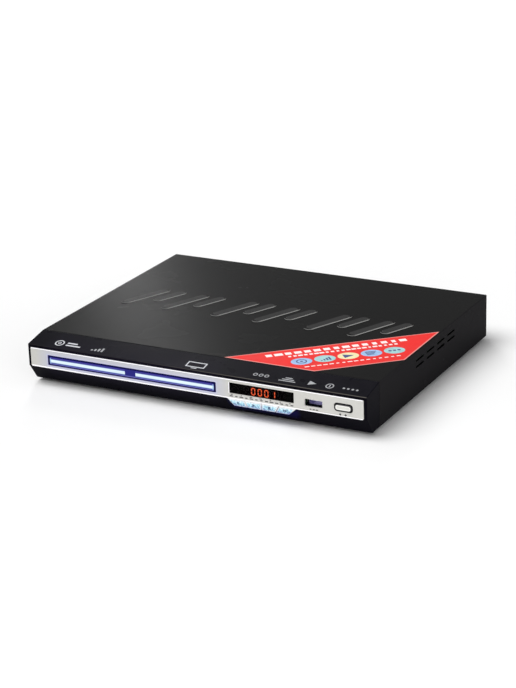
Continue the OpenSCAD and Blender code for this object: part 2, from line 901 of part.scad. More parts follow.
module disc_tray()
    color([0.2, 0.2, 0.21])
    in_loader() {
        tray_y0 = door_y + door_t;
        difference() {
            union() {
                block([-tray_w / 2, tray_y0, tray_z], [tray_w / 2, tray_y0 + tray_len, tray_top]);
                block([-tray_w / 2 - 20, tray_y0, door_z - 3.6],
                      [tray_w / 2 + 20, tray_y0 + 3, door_z + 2.6]);
            }
            translate([0, disc_y, recess_z])
                cylinder(r = disc_r, h = tray_t, $fn = 96);
            translate([0, disc_y, small_recess_z])
                cylinder(r = small_disc_r, h = tray_t, $fn = 96);
            translate([0, disc_y, tray_z - 1])
                cylinder(r = slot_w / 2 - 1, h = tray_t + 2);
            block([-slot_w / 2, disc_y, tray_z - 1], [slot_w / 2, tray_y0 + tray_len + 1, tray_top + 1]);
            for (s = [-1, 1])
                translate([s * (slot_w + tray_w) / 4, tray_y0 + tray_len - 50, recess_z + 0.4])
                    block([-16, 0, 0], [16, 42, tray_t]);
            rack_pocket();
        }
    }

// Channel in the tray's underside, with the rack's teeth along one side
module rack_pocket() {
    reach = rack_r + rack_m + 1;
    difference() {
        block([gear_x - reach, gear_y - reach, tray_z - 1],
              [rack_x + 1.25 * rack_m - eps, gear_y + tray_travel + reach, pocket_top]);
        translate([rack_x, gear_y + PI * rack_m / 2, tray_z - 2])
            linear_extrude(tray_t)
                polygon(rack_points(rack_m, -4, ceil(tray_travel / (PI * rack_m)) + 3, 1.25 * rack_m + 1));
    }
}

// ---------------------------------------------------------------- loader

module loader_frame()
    color([0.12, 0.12, 0.13])
    in_loader() {
        y1 = loader_y + loader_len;
        difference() {
            union() {
                block([-wall_out, loader_y, deck_z], [wall_out, y1, deck_top]);
                for (s = [-1, 1]) {
                    block([s > 0 ? wall_in : -wall_out, loader_y, deck_z],
                          [s > 0 ? wall_out : -wall_in, y1, wall_top]);
                    block([s > 0 ? wall_in - ledge : -wall_in - 0.1, loader_y, tray_z - 2.6],
                          [s > 0 ? wall_in + 0.1 : ledge - wall_in, y1, tray_z - fit]);
                    for (y = [loader_y, loader_y + loader_len / 2 - 5, y1 - 10])
                        block([s > 0 ? wall_in - ledge : -wall_in - 0.1, y, tray_top + fit],
                              [s > 0 ? wall_in + 0.1 : ledge - wall_in, y + 10, tray_top + fit + 1.5]);
                    block([s > 0 ? plate_x + 2 : -well_x - 1.5, pivot_y - 5, deck_z],
                          [s > 0 ? well_x + 1.5 : -plate_x - 2, pivot_y + 5, tray_z - 0.5]);
                }
                block([-wall_out, y1 - 2, deck_z], [wall_out, y1, tray_z - 2]);
                translate([motor_x, motor_y, deck_z])
                    cylinder(r = motor_r + 1, h = motor_top - deck_z - 0.2);
            }
            block([-well_x, well_y0, deck_z - 1],
                  [well_x, pivot_y - 5 - eps, deck_top + 1]);
            block([-plate_x - 2, pivot_y - 6, deck_z - 1], [plate_x + 2, well_y1, deck_top + 1]);
            block([cam_pin_x - cam_travel - 8, cam_y0 - fit, deck_z - 1],
                  [cam_pin_x + cam_travel + 14, well_y0 + eps, deck_top + 1]);
            along_x(-well_x - 3, well_x + 3)
                translate([pivot_y, pivot_z])
                    circle(bush_r + run_gap);
            translate([motor_x, motor_y, deck_z - 1])
                cylinder(r = motor_r + run_gap, h = motor_top);
            for (p = loader_places)
                translate([p[0] - loader_x, p[1], deck_z - 1])
                    cylinder(r = screw_r + 0.3, h = deck_t + 2);
        }
        translate([gear_x, gear_y, deck_top - eps])
            cylinder(r = gear_post_r, h = rack_z + rack_face + 0.1 - deck_top);
        translate([pulley_x, gear_y, deck_top - eps])
            cylinder(r = pulley_post_r, h = pulley_z + pulley_h + 0.1 - deck_top);
        for (p = [[gear_x, 2.9], [pulley_x, 2.4]])
            translate([p[0], gear_y, deck_top - eps])
                cylinder(r = p[1], h = gear_z0 - deck_top - 0.1);
    }

module drive_gear()
    color([0.92, 0.92, 0.9])
    in_loader()
    translate([gear_x, gear_y, 0])
        difference() {
            union() {
                translate([0, 0, gear_z0])
                    gear(fine_m, wheel_n, wheel_face, short_add);
                translate([0, 0, gear_z0])
                    cylinder(r = 4, h = rack_z - gear_z0 + eps);
                translate([0, 0, rack_z])
                    gear(rack_m, rack_gear_n, rack_face);
            }
            translate([0, 0, gear_z0 - 1])
                cylinder(r = gear_post_r + run_gap, h = 20);
        }

module pulley_gear()
    color([0.85, 0.85, 0.83])
    in_loader()
    translate([pulley_x, gear_y, 0])
        difference() {
            union() {
                translate([0, 0, gear_z0])
                    rotate([0, 0, 180 / pinion_n])
                        gear(fine_m, pinion_n, pulley_z - gear_z0 + eps, short_add);
                belt_pulley(pulley_r);
            }
            translate([0, 0, gear_z0 - 1])
                cylinder(r = pulley_post_r + run_gap, h = 20);
        }

module belt_pulley(r)
    translate([0, 0, pulley_z])
        rotate_extrude()
            polygon([
                [0, 0], [r, 0], [r, 0.3],
                [r - belt_sink, pulley_h / 2 - belt_s / 2 - 0.2],
                [r - belt_sink, pulley_h / 2 + belt_s / 2 + 0.2],
                [r, pulley_h - 0.3], [r, pulley_h], [0, pulley_h]]);

// Outline of a loop round both pulleys, from its two radii
function belt_points(r1, r2) =
    let (
        span = [motor_x - pulley_x, motor_y - gear_y],
        turn = atan2(span[1], span[0]),
        lean = acos((r1 - r2) / norm(span)),
        n = 20
    )
    concat(
        [for (i = [0 : n]) let (a = turn + lean + (360 - 2 * lean) * i / n) r1 * [cos(a), sin(a)]],
        [for (i = [0 : n]) let (a = turn - lean + 2 * lean * i / n) span + r2 * [cos(a), sin(a)]]);

module drive_belt()
    color([0.05, 0.05, 0.05])
    in_loader()
    translate([pulley_x, gear_y, belt_z - belt_s / 2])
        linear_extrude(belt_s)
            difference() {
                polygon(belt_points(pulley_r - belt_sink + 0.35 + belt_s,
                                    motor_pulley_r - belt_sink + 0.35 + belt_s));
                polygon(belt_points(pulley_r - belt_sink + 0.35, motor_pulley_r - belt_sink + 0.35));
            }

module loading_motor()
    color([0.72, 0.72, 0.73])
    in_loader()
    translate([motor_x, motor_y, 0]) {
        translate([0, 0, pan_t + 0.6])
            cylinder(r = motor_r, h = motor_top - pan_t - 0.6);
        translate([0, 0, motor_top - eps])
            cylinder(r = 1, h = pulley_z + pulley_h - motor_top);
    }

module motor_pulley()
    color([0.8, 0.68, 0.35])
    in_loader()
    translate([motor_x, motor_y, 0])
        difference() {
            belt_pulley(motor_pulley_r);
            translate([0, 0, pulley_z - 1])
                cylinder(r = 1 + run_gap, h = pulley_h + 2);
        }

module cam_slider()
    color([0.9, 0.9, 0.88])
    in_loader() {
        rise = pivot_z - cam_pin_z;
        slope = atan(rise / cam_travel);
        along_y(cam_y0, cam_y0 + cam_t)
            difference() {
                block_shape([cam_pin_x - cam_travel - 6, cam_pin_z - cam_slot_w / 2 - 1.4],
                            [cam_pin_x + 10, tray_z - fit]);
                translate([cam_pin_x - cam_travel / 2, cam_pin_z + rise / 2])
                    rotate(-slope)
                        slot_shape(cam_travel / cos(slope) + cam_slot_w, cam_slot_w);
            }
    }

module clamp_bridge()
    color([0.7, 0.71, 0.72])
    in_loader()
    difference() {
        block([-wall_out, disc_y - 18, wall_top], [wall_out, disc_y + 18, wall_top + bridge_t]);
        translate([0, disc_y, wall_top - 1])
            cylinder(r = puck_r + 0.8, h = bridge_t + 2);
        for (x = [-1, 1], y = [-1, 1])
            translate([x * (wall_out - 1.75), disc_y + y * 12, wall_top - 1])
                cylinder(r = 1.2, h = bridge_t + 2);
    }

module clamp_puck()
    color([0.88, 0.88, 0.86])
    in_loader()
    translate([0, disc_y, 0])
        difference() {
            union() {
                translate([0, 0, puck_z])
                    cylinder(r = puck_r, h = wall_top + bridge_t + fit - puck_z + eps);
                translate([0, 0, wall_top + bridge_t + fit])
                    cylinder(r = puck_flange_r, h = 1.5);
            }
            translate([0, 0, puck_z - 1])
                cylinder(r = cone_r + 0.8, h = 2.2);
        }

module traverse_plate()
    color([0.66, 0.67, 0.69])
    lowered() {
        difference() {
            union() {
                block([-plate_x, plate_y0, plate_z], [plate_x, plate_y1, plate_z + plate_t]);
                for (y = [sled_y0 - 6, sled_y0 + sled_len + pickup_travel + 4])
                    block([-rod_x - 2.6, y, rod_z - 2.4], [rod_x + 2.6, y + 4, plate_z + eps]);
            }
            block([-window_x0, sled_y0 - 2, plate_z - 1],
                  [window_x0, sled_y0 + sled_len + pickup_travel + 4, plate_z + plate_t + 1]);
            for (s = [-1, 1])
                translate([s * rod_x, sled_y0 - 7, rod_z])
                    rotate([-90, 0, 0])
                        cylinder(r = rod_r + run_gap, h = sled_len + pickup_travel + 22);
        }
        for (s = [-1, 1])
            translate([s * (plate_x - 4), pivot_y, pivot_z])
                rotate([0, s * 90, 0])
                    cylinder(r = pivot_r, h = well_x + 1 - plate_x + 4);
        translate([cam_pin_x, cam_y0 - 0.1, pivot_z])
            rotate([-90, 0, 0])
                cylinder(r = cam_pin_r, h = plate_y0 + 4 - cam_y0);
        translate([sled_gear_x, sled_gear_y, sled_gear_z - 1])
            cylinder(r = 1.2, h = plate_z - sled_gear_z + 1 + eps);
        block([sled_gear_x - 5, sled_motor_y + 5.1, sled_gear_z - 6.4],
              [sled_gear_x + 4.5, sled_motor_y + 7, plate_z + eps]);
    }

module pivot_bushes()
    color([0.15, 0.15, 0.15])
    in_loader()
    for (s = [-1, 1])
        translate([s * (plate_x + 2.1), pivot_y, pivot_z])
            rotate([0, s * 90, 0])
                difference() {
                    cylinder(r = bush_r, h = well_x - plate_x - 0.7);
                    translate([0, 0, -1])
                        cylinder(r = pivot_r + run_gap, h = 10);
                }

module guide_rods()
    color([0.85, 0.85, 0.86])
    lowered()
    for (s = [-1, 1])
        translate([s * rod_x, sled_y0 - 6, rod_z])
            rotate([-90, 0, 0])
                cylinder(r = rod_r, h = sled_len + pickup_travel + 14);

module spindle_base()
    color([0.2, 0.4, 0.25])
    lowered()
    translate([0, disc_y, plate_z + plate_t]) {
        cylinder(r = rotor_r, h = rotor_z - plate_z - plate_t - fit);
        cylinder(r = 2.6, h = rotor_z + 3 - plate_z - plate_t);
    }

module spindle_rotor()
    color([0.78, 0.78, 0.8])
    lowered()
    translate([0, disc_y, 0])
        difference() {
            union() {
                translate([0, 0, rotor_z])
                    cylinder(r = rotor_r, h = hub_z - rotor_z);
                translate([0, 0, hub_z - eps])
                    cylinder(r = 1, h = support_z + cone_h - hub_z);
            }
            translate([0, 0, rotor_z - 1])
                cylinder(r = 3, h = 4.4);
        }

module turntable()
    color([0.1, 0.1, 0.1])
    lowered()
    translate([0, disc_y, 0])
        rotate_extrude()
            polygon([
                [1 + run_gap, hub_z], [hub_r, hub_z], [hub_r, support_z],
                [cone_r, support_z], [cone_r - 0.3, support_z + 1],
                [cone_r - 1.6, support_z + cone_h], [1 + run_gap, support_z + cone_h]]);

module pickup_sled()
    color([0.3, 0.3, 0.32])
    lowered() {
        difference() {
            block([-sled_half, sled_y0, rod_z - 2.6], [sled_half, sled_y0 + sled_len, sled_top]);
            for (s = [-1, 1])
                translate([s * rod_x, sled_y0 - 1, rod_z])
                    rotate([-90, 0, 0])
                        cylinder(r = rod_r + run_gap, h = sled_len + 2);
            translate([0, lens_y, sled_top - 3])
                cylinder(r = 6, h = 4);
        }
        block([sled_half - 1, sled_gear_y - pickup_travel - 5, sled_gear_z],
              [sled_half + eps, sled_y0 + 1, sled_gear_z + sled_face]);
        translate([sled_rack_x, sled_gear_y, sled_gear_z])
            linear_extrude(sled_face)
                mirror([1, 0])
                    polygon(rack_points(fine_m,
                        -floor((pickup_travel + 4) / (PI * fine_m)), 1,
                        sled_rack_x - sled_half + 0.5, short_add));
    }

module pickup_lens()
    color([0.55, 0.6, 0.85])
    lowered()
    translate([0, lens_y, sled_top - 3]) {
        cylinder(r = 5.4, h = 3.2);
        cylinder(r = 3.4, h = 4.6);
    }

module sled_gear()
    color([0.92, 0.92, 0.9])
    lowered()
    translate([sled_gear_x, sled_gear_y, sled_gear_z])
        difference() {
            rotate([0, 0, 180 / sled_n])
                gear(fine_m, sled_n, sled_face, short_add);
            translate([0, 0, -1])
                cylinder(r = 1.2 + run_gap, h = 5);
        }

sled_motor_y = sled_gear_y + sled_r + sled_pinion_r;

module sled_pinion()
    color([0.8, 0.68, 0.35])
    lowered()
    translate([sled_gear_x, sled_motor_y, sled_gear_z])
        difference() {
            rotate([0, 0, 180 / sled_pinion_n])
                gear(fine_m, sled_pinion_n, sled_face, short_add);
            translate([0, 0, -1])
                cylinder(r = 0.8 + run_gap, h = 5);
        }

module sled_motor()
    color([0.72, 0.72, 0.73])
    lowered()
    translate([sled_gear_x, sled_motor_y, sled_gear_z]) {
        translate([0, 0, -6.4])
            cylinder(r = 5, h = 6);
        translate([0, 0, -1])
            cylinder(r = 0.8, h = 1 + sled_face);
    }

// ---------------------------------------------------------------- boards

module board_holes(places)
    for (p = places)
        translate([p[0], p[1], board_z - 1])
            cylinder(r = screw_r + 0.3, h = board_t + 2);

module board(b, places)
    difference() {
        block([b[0], b[1], board_z], [b[0] + b[2], b[1] + b[3], board_top]);
        board_holes(places);
    }

module main_board()
    color([0.08, 0.33, 0.2])
    in_case()
    board(mboard, main_places);

module board_chips()
    color([0.09, 0.09, 0.1])
    in_case()
    for (c = [[56, 56, 24, 24, 1.8], [92, 50, 18, 10, 1.2], [92, 66, 18, 10, 1.2],
              [56, 92, 14, 9, 1.6], [30, 60, 10, 8, 1.4], [120, 44, 20, 14, 7],
              [11, 22, 5, 22, 5], [88, 10, 18, 6, 5], [24, harness_y - mboard[1], 8, 10, 6]])
        translate([mboard[0] + c[0], mboard[1] + c[1], board_top])
            block([-c[2] / 2, -c[3] / 2, 0], [c[2] / 2, c[3] / 2, c[4]]);

module power_board()
    color([0.68, 0.55, 0.3])
    in_case()
    board(pboard, power_places);

module transformer()
    color([0.85, 0.75, 0.25])
    in_case()
    translate([pboard[0] + 52, pboard[1] + 0.48 * pboard[3], board_top]) {
        block([-12, -10, 0], [12, 10, 4]);
        block([-9, -12, 4], [9, 12, 20]);
        block([-12, -10, 20], [12, 10, 23]);
    }

module power_parts()
    color([0.12, 0.14, 0.2])
    in_case()
    translate([pboard[0], pboard[1], board_top]) {
        deep = pboard[3];
        for (c = [[26, 0.34, 8.5, 24], [78, 0.28, 5, 18], [92, 0.28, 5, 18], [78, 0.68, 4, 14]])
            translate([c[0], c[1] * deep, 0])
                cylinder(r = c[2], h = c[3]);
        block([10, 0.7 * deep - 4, 0], [20, 0.7 * deep + 4, 12]);
        block([68, 0.79 * deep - 8, 0], [71, 0.79 * deep + 8, 24]);
        block([harness_x - pboard[0] - 9, harness_y - pboard[1] - 6, 0],
              [harness_x - pboard[0], harness_y - pboard[1] + 6, 6]);
    }

module standoffs()
    color([0.8, 0.8, 0.78])
    in_case()
    for (p = concat(main_places, power_places))
        translate([p[0], p[1], pan_t])
            difference() {
                cylinder(r = post_r, h = board_z - pan_t);
                translate([0, 0, 1])
                    cylinder(r = screw_r + 0.1, h = board_z);
            }

module board_screws()
    color([0.75, 0.75, 0.76])
    in_case() {
        for (p = concat(main_places, power_places))
            translate([p[0], p[1], board_top])
                screw(head_r, head_h, screw_r, board_t + 4);
        for (p = loader_places)
            translate([p[0], p[1], deck_top])
                screw(head_r, head_h, screw_r, deck_t + 5);
        for (p = panel_posts)
            translate([p[0], fboard_y + board_t, p[1]])
                rotate([-90, 0, 0])
                    screw(head_r, head_h, screw_r, board_t + 4);
    }

function jack_place(i) = jack_x + (i - (jack_cols - 1) / 2) * jack_pitch;

module jack_block()
    color([0.07, 0.07, 0.07])
    in_case()
    difference() {
        block([jack_place(0) - 7, rear_y0 - 14, board_top],
              [jack_place(jack_cols - 1) + 7, rear_y0, jack_z + jack_row + 8]);
        along_y(rear_y0 - jack_deep, rear_y0 + 1)
            for (i = [0 : jack_cols - 1], k = [0, 1])
                translate([jack_place(i), jack_z + k * jack_row])
                    circle(jack_core_r + run_gap);
    }

module jack_barrels()
    color([0.8, 0.8, 0.78])
    in_case()
    for (i = [0 : jack_cols - 1], k = [0, 1])
        translate([jack_place(i), rear_y0 - jack_deep + 0.1, jack_z + k * jack_row])
            rotate([-90, 0, 0])
                difference() {
                    union() {
                        cylinder(r = jack_core_r, h = jack_core_len);
                        translate([0, 0, jack_core_len - 0.8])
                            cylinder(r = jack_r,
                                     h = rear_y - rear_y0 + jack_deep - jack_core_len + 0.7);
                    }
                    translate([0, 0, 6])
                        cylinder(r = jack_hole_r, h = 30);
                }

module mains_inlet()
    color([0.06, 0.06, 0.06])
    in_case()
    translate([inlet_x, 0, inlet_z])
        difference() {
            union() {
                along_y(rear_y1, case_d + 2)
                    round_rect(inlet_w + 6, inlet_h + 5, 2);
                along_y(rear_y1 - 18, rear_y1 + eps)
                    round_rect(inlet_w, inlet_h, 2);
            }
            along_y(case_d + 2 - 13, case_d + 3) {
                for (s = [-1, 1])
                    translate([s * 3.6, 0])
                        circle(4);
                square([7.2, 8], center = true);
            }
        }

module inlet_pins()
    color([0.8, 0.78, 0.6])
    in_case()
    for (s = [-1, 1])
        translate([inlet_x + s * 4.3, case_d - 11, inlet_z])
            rotate([-90, 0, 0])
                cylinder(r = 1.2, h = 9);

// Flat ribbon from a list of points along its middle, in Y and Z, or X and Z
function ribbon_outline(p, t) = concat(
    [for (q = p) q + [0, t / 2]],
    [for (i = [len(p) - 1 : -1 : 0]) p[i] - [0, t / 2]]);

module ribbons()
    color([0.9, 0.9, 0.88])
    in_case() {
        along_y(mboard[1] + 12, mboard[1] + 32)
            polygon(ribbon_outline([
                [loader_x + wall_out + fit, deck_top + 6], [loader_x + wall_out + 4, deck_top + 8],
                [mboard[0] + 2, deck_top + 8], [mboard[0] + 8.4, board_top + 3]], 0.5));
        along_x(mboard[0] + 80, mboard[0] + 96)
            polygon(ribbon_outline([
                [fboard_y + board_t, 20], [pan_y0 - 4, 19], [pan_y0 + 8, 16],
                [mboard[1] - 12, 15], [mboard[1] + 6.8, board_top + 3]], 0.5));
    }

module power_harness()
    color([0.85, 0.2, 0.15])
    in_case()
    translate([harness_x, harness_y, board_top + 3])
        rotate([0, 90, 0])
            cylinder(r = 2, h = mboard[0] + 20 - harness_x);

bottom_pan();
rear_panel();
top_cover();
front_panel();
silver_fascia();
display_window();
display_module();
display_digits();
front_board();
key_switches();
open_key();
play_key();
stop_key();
skip_key();
port_board();
port_shell();
port_tongue();
power_key();
power_switch();
lamp_board();
lamps();
tray_door();
door_light_bars();
disc_tray();
loader_frame();
drive_gear();
pulley_gear();
drive_belt();
loading_motor();
motor_pulley();
cam_slider();
clamp_bridge();
clamp_puck();
traverse_plate();
pivot_bushes();
guide_rods();
spindle_base();
spindle_rotor();
turntable();
pickup_sled();
pickup_lens();
sled_gear();
sled_pinion();
sled_motor();
main_board();
board_chips();
power_board();
transformer();
power_parts();
standoffs();
board_screws();
jack_block();
jack_barrels();
mains_inlet();
inlet_pins();
ribbons();
power_harness();
promo_sticker();
cover_screws();
feet();
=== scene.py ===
import json
import math

import bmesh
import bpy
from mathutils import Matrix, Vector


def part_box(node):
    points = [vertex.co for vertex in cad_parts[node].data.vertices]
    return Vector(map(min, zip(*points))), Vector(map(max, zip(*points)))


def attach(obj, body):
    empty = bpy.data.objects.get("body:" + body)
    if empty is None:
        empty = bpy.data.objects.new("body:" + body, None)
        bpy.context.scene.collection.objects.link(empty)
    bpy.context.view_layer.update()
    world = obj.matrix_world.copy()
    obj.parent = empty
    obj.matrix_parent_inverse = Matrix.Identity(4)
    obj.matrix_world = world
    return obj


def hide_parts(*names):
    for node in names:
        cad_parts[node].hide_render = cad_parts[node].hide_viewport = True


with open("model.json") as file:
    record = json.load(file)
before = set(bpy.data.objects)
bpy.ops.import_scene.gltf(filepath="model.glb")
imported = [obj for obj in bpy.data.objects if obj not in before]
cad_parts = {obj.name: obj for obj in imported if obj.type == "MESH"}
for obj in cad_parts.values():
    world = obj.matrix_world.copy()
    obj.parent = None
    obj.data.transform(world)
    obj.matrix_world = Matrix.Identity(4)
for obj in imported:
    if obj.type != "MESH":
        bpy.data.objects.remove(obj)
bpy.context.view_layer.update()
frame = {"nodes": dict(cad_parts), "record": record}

record = frame["record"]
bodies = record["behaviour"]["bodies"]


# ------------------------------------------------------------------ places

FACE_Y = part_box("silver_fascia")[0].y + 0.0004      # the vertical front face
PAN_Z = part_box("bottom_pan")[0].z                   # underside of the bottom pan
STRIP_DEPTH = 27.4                                  # sloped strip behind the face, mm
STRIP_LOW = 38.6                                    # its front edge above the pan, mm
STRIP_HIGH = 44.0                                   # its back edge and the cover's top, mm
SKY_LEVEL = 0.25                                    # light of the studio's surroundings
PRINT_RISE = 0.00004                                # thickness of a screen print, m
KEYS = ("open_key", "play_key", "stop_key", "skip_key")


def at(x, y, z):
    """A point in the case: mm from its middle, back from its face and up from its pan."""
    return Vector((x / 1000, FACE_Y + y / 1000, PAN_Z + z / 1000))


def on_strip(x, up, lift):
    """A point `lift` mm over the sloped strip, `up` mm from its front edge along the slope."""
    run = Vector((0, STRIP_DEPTH, STRIP_HIGH - STRIP_LOW)).normalized()
    out = Vector((0, -run.z, run.y))
    spot = Vector((x, 0, STRIP_LOW)) + run * up + out * lift
    return at(*spot)


def body_of_node(node):
    return next(body for body, held in bodies.items() if node in held)


def slot_of_node(node):
    return next(part["material_slot"] for part in record["subparts"] if part["node"] == node)


# ------------------------------------------------------------------ node trees

def add(tree, kind, inputs=None, **settings):
    """A node with its settings, its inputs linked or set."""
    node = tree.nodes.new(kind)
    for name, value in settings.items():
        setattr(node, name, value)
    for key, value in (inputs or {}).items():
        if isinstance(value, bpy.types.NodeSocket):
            tree.links.new(value, node.inputs[key])
        else:
            node.inputs[key].default_value = value
    return node


def maths(tree, operation, *values, clamp=False):
    node = tree.nodes.new("ShaderNodeMath")
    node.operation = operation
    node.use_clamp = clamp
    for socket, value in zip(node.inputs, values):
        if isinstance(value, bpy.types.NodeSocket):
            tree.links.new(value, socket)
        else:
            socket.default_value = value
    return node.outputs[0]


def linear(r, g, b):
    """A colour given as it shows on a screen, 0 to 255, for a shader."""
    def one(c):
        c /= 255
        return c / 12.92 if c <= 0.04045 else ((c + 0.055) / 1.055) ** 2.4
    return (one(r), one(g), one(b), 1.0)


def shaded(colour, share):
    return tuple(min(1.0, c * share) for c in colour[:3]) + (1.0,)


def ramp(tree, factor, stops, interpolation="LINEAR"):
    """Colours along a factor: stops are (place, colour)."""
    node = add(tree, "ShaderNodeValToRGB", {"Fac": factor})
    band = node.color_ramp
    band.interpolation = interpolation
    while len(band.elements) < len(stops):
        band.elements.new(0.5)
    for element, (place, colour) in zip(band.elements, stops):
        element.position = place
        element.color = colour
    return node.outputs["Color"]


def blended(tree, factor, first, second):
    node = tree.nodes.new("ShaderNodeMix")
    node.data_type = "RGBA"
    for index, value in ((0, factor), (6, first), (7, second)):
        if isinstance(value, bpy.types.NodeSocket):
            tree.links.new(value, node.inputs[index])
        else:
            node.inputs[index].default_value = value
    return node.outputs[2]


def coordinates(tree, vector):
    """X, Y and Z of a vector socket."""
    return add(tree, "ShaderNodeSeparateXYZ", {"Vector": vector}).outputs


def facing(tree):
    """X, Y and Z of the way a face looks."""
    return coordinates(tree, add(tree, "ShaderNodeNewGeometry").outputs["True Normal"])


def mask(tree, factor, stops):
    """A grey level along a factor: stops are (place, level)."""
    return ramp(tree, factor, [(place, (level, level, level, 1)) for place, level in stops])


def mottled(tree, factor, base, share):
    """A colour that varies by a share, darker and lighter, from patch to patch."""
    return ramp(tree, factor, [(0.3, shaded(base, 1 - share)), (0.7, shaded(base, 1 + share))])


def progress(tree, value, low, high, clamp=False):
    """How far a value has come from low, 0, to high, 1."""
    return maths(tree, "DIVIDE", maths(tree, "SUBTRACT", value, low), high - low, clamp=clamp)


def nearness(tree, away, reach):
    """1 where a distance is nothing, falling to 0 where it is `reach`."""
    return maths(tree, "SUBTRACT", 1.0, maths(tree, "DIVIDE", away, reach), clamp=True)


def middle_and_half(low, high):
    return (low + high) / 2, (high - low) / 2


def away_from(tree, place, middle, half):
    """How far a spot of the front lies outside an upright rectangle, in metres."""
    axes = coordinates(tree, place)
    squares = []
    for axis, centre, reach in (("X", middle.x, half.x), ("Z", middle.z, half.z)):
        off = maths(tree, "ABSOLUTE", maths(tree, "SUBTRACT", axes[axis], centre))
        off = maths(tree, "MAXIMUM", maths(tree, "SUBTRACT", off, reach), 0.0)
        squares.append(maths(tree, "MULTIPLY", off, off))
    return maths(tree, "SQRT", maths(tree, "ADD", *squares))


def new_surface(name):
    """An empty material, its tree and the object's own coordinates."""
    material = bpy.data.materials.new(name)
    material.use_nodes = True
    tree = material.node_tree
    tree.nodes.clear()
    return material, tree, add(tree, "ShaderNodeTexCoord").outputs["Object"]


def done(material, shader):
    """The material with its shader linked to its output."""
    tree = material.node_tree
    out = tree.nodes.new("ShaderNodeOutputMaterial")
    tree.links.new(shader.outputs[0], out.inputs["Surface"])
    return material


def coarse_and_fine(tree, place, patch, grain, stretch=(1, 1, 1)):
    """Broad patches and fine grain of a surface, from their sizes in metres."""
    laid = add(tree, "ShaderNodeMapping", {"Vector": place, "Scale": stretch}).outputs[0]
    broad = add(tree, "ShaderNodeTexNoise", {"Vector": laid, "Scale": 1 / patch, "Detail": 3.0})
    fine = add(tree, "ShaderNodeTexNoise", {"Vector": laid, "Scale": 1 / grain, "Detail": 2.0})
    return broad.outputs["Fac"], fine.outputs["Fac"]


def surface_shader(tree, colour, roughness, fine, broad, bump=0.15, depth=0.00005,
                   uneven=0.05, **fixed):
    """Principled shader with uneven gloss and a fine relief; `fixed` are socket values."""
    gloss = add(tree, "ShaderNodeMapRange",
                {"Value": broad, "From Min": 0.3, "From Max": 0.7,
                 "To Min": max(0.02, roughness - uneven), "To Max": min(1.0, roughness + uneven)})
    relief = add(tree, "ShaderNodeBump",
                 {"Height": fine, "Strength": bump, "Distance": depth})
    inputs = {"Base Color": colour, "Roughness": gloss.outputs[0],
              "Normal": relief.outputs["Normal"]}
    inputs.update({key.replace("_", " "): value for key, value in fixed.items()})
    return add(tree, "ShaderNodeBsdfPrincipled", inputs)


def finish(name, colour, roughness=0.45, mottle=0.06, patch=0.012, grain=0.0004,
           bump=0.15, depth=0.00005, stretch=(1, 1, 1), **fixed):
    """A maker's finish: one colour with slight patches, uneven gloss and a fine relief."""
    material, tree, place = new_surface(name)
    broad, fine = coarse_and_fine(tree, place, patch, grain, stretch)
    base = linear(*colour)
    tint = mottled(tree, broad, base, mottle)
    shader = surface_shader(tree, tint, roughness, fine, broad, bump, depth, **fixed)
    return done(material, shader)


# ------------------------------------------------------------------ finishes

RIB_FLANK_HIGHLIGHT = (168, 168, 166)          # painted highlight on the flanks of the cover's ribs


def powder_coat(name, colour, level, edge, highlight_above=None):
    """Charcoal powder coat: dark, fine grained, with very little mirror in it.
    `edge` is the colour of steep flanks, painted lighter than the top as painted light; above a
    given height, on the ribs, they take a brighter painted highlight."""
    material, tree, place = new_surface(name)
    broad, fine = coarse_and_fine(tree, place, 0.05, 0.0009)
    base = linear(*colour)
    tint = mottled(tree, broad, base, 0.015)
    speck = ramp(tree, fine, [(0.45, shaded(base, 0.93)), (0.72, shaded(base, 1.15))])
    colour = blended(tree, 0.4, tint, speck)
    # Painted light and painted highlight: steep faces take the lighter flank colour
    upright = facing(tree)["Z"]
    steep = maths(tree, "MULTIPLY", maths(tree, "SUBTRACT", 0.99, upright), 12.0, clamp=True)
    flank = linear(*edge)
    if highlight_above:
        rib_flank_zone = maths(tree, "GREATER_THAN", coordinates(tree, place)["Z"], highlight_above)
        flank = blended(tree, rib_flank_zone, flank, linear(*RIB_FLANK_HIGHLIGHT))
    shader = surface_shader(tree, blended(tree, steep, colour, flank), 0.27, fine, broad, 0.08,
                            0.00003, uneven=0.008, Specular_IOR_Level=level)
    return done(material, shader)


def metallic_paint():
    """Silver paint with fine flakes; round the lit door it carries a painted violet glow, in its
    colour and its emission.
    """
    material, tree, place = new_surface("silver_metallic_paint")
    broad, fine = coarse_and_fine(tree, place, 0.03, 0.0003)
    # Painted glow: violet tint and faint emission round the door stand in for the door's light on
    # the silver
    away = away_from(tree, place, *middle_and_half(*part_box("tray_door")))
    near = nearness(tree, away, 0.0026)
    glow = maths(tree, "POWER", near, 1.8)
    base = linear(206, 205, 200)
    tint = mottled(tree, broad, base, 0.03)
    flake = ramp(tree, fine, [(0.4, shaded(base, 0.94)), (0.7, shaded(base, 1.08))])
    paint = blended(tree, 0.5, tint, flake)
    wide = nearness(tree, away, 0.014)
    paint = blended(tree, wide, paint, linear(198, 199, 211))
    colour = blended(tree, glow, paint, linear(200, 200, 226))
    light = blended(tree, glow, linear(0, 0, 0), linear(48, 48, 96))
    shader = surface_shader(tree, colour, 0.36, fine, broad, 0.08, 0.00003,
                            Metallic=0.25, Emission_Strength=0.9)
    tree.links.new(light, shader.inputs["Emission Color"])
    return done(material, shader)


# Colours of the lit door from its bottom, 0, to its top, 1
DOOR_BANDS = [
    (0.00, linear(8, 8, 66)), (0.10, linear(8, 8, 72)), (0.13, linear(112, 112, 184)),
    (0.20, linear(96, 96, 176)), (0.235, linear(22, 22, 100)), (0.265, linear(80, 100, 180)),
    (0.32, linear(205, 232, 250)), (0.38, linear(232, 248, 255)), (0.57, linear(228, 247, 255)),
    (0.63, linear(120, 140, 208)), (0.665, linear(20, 20, 104)), (0.72, linear(74, 70, 160)),
    (0.79, linear(64, 60, 150)), (0.84, linear(12, 10, 80)), (1.00, linear(6, 5, 64))]


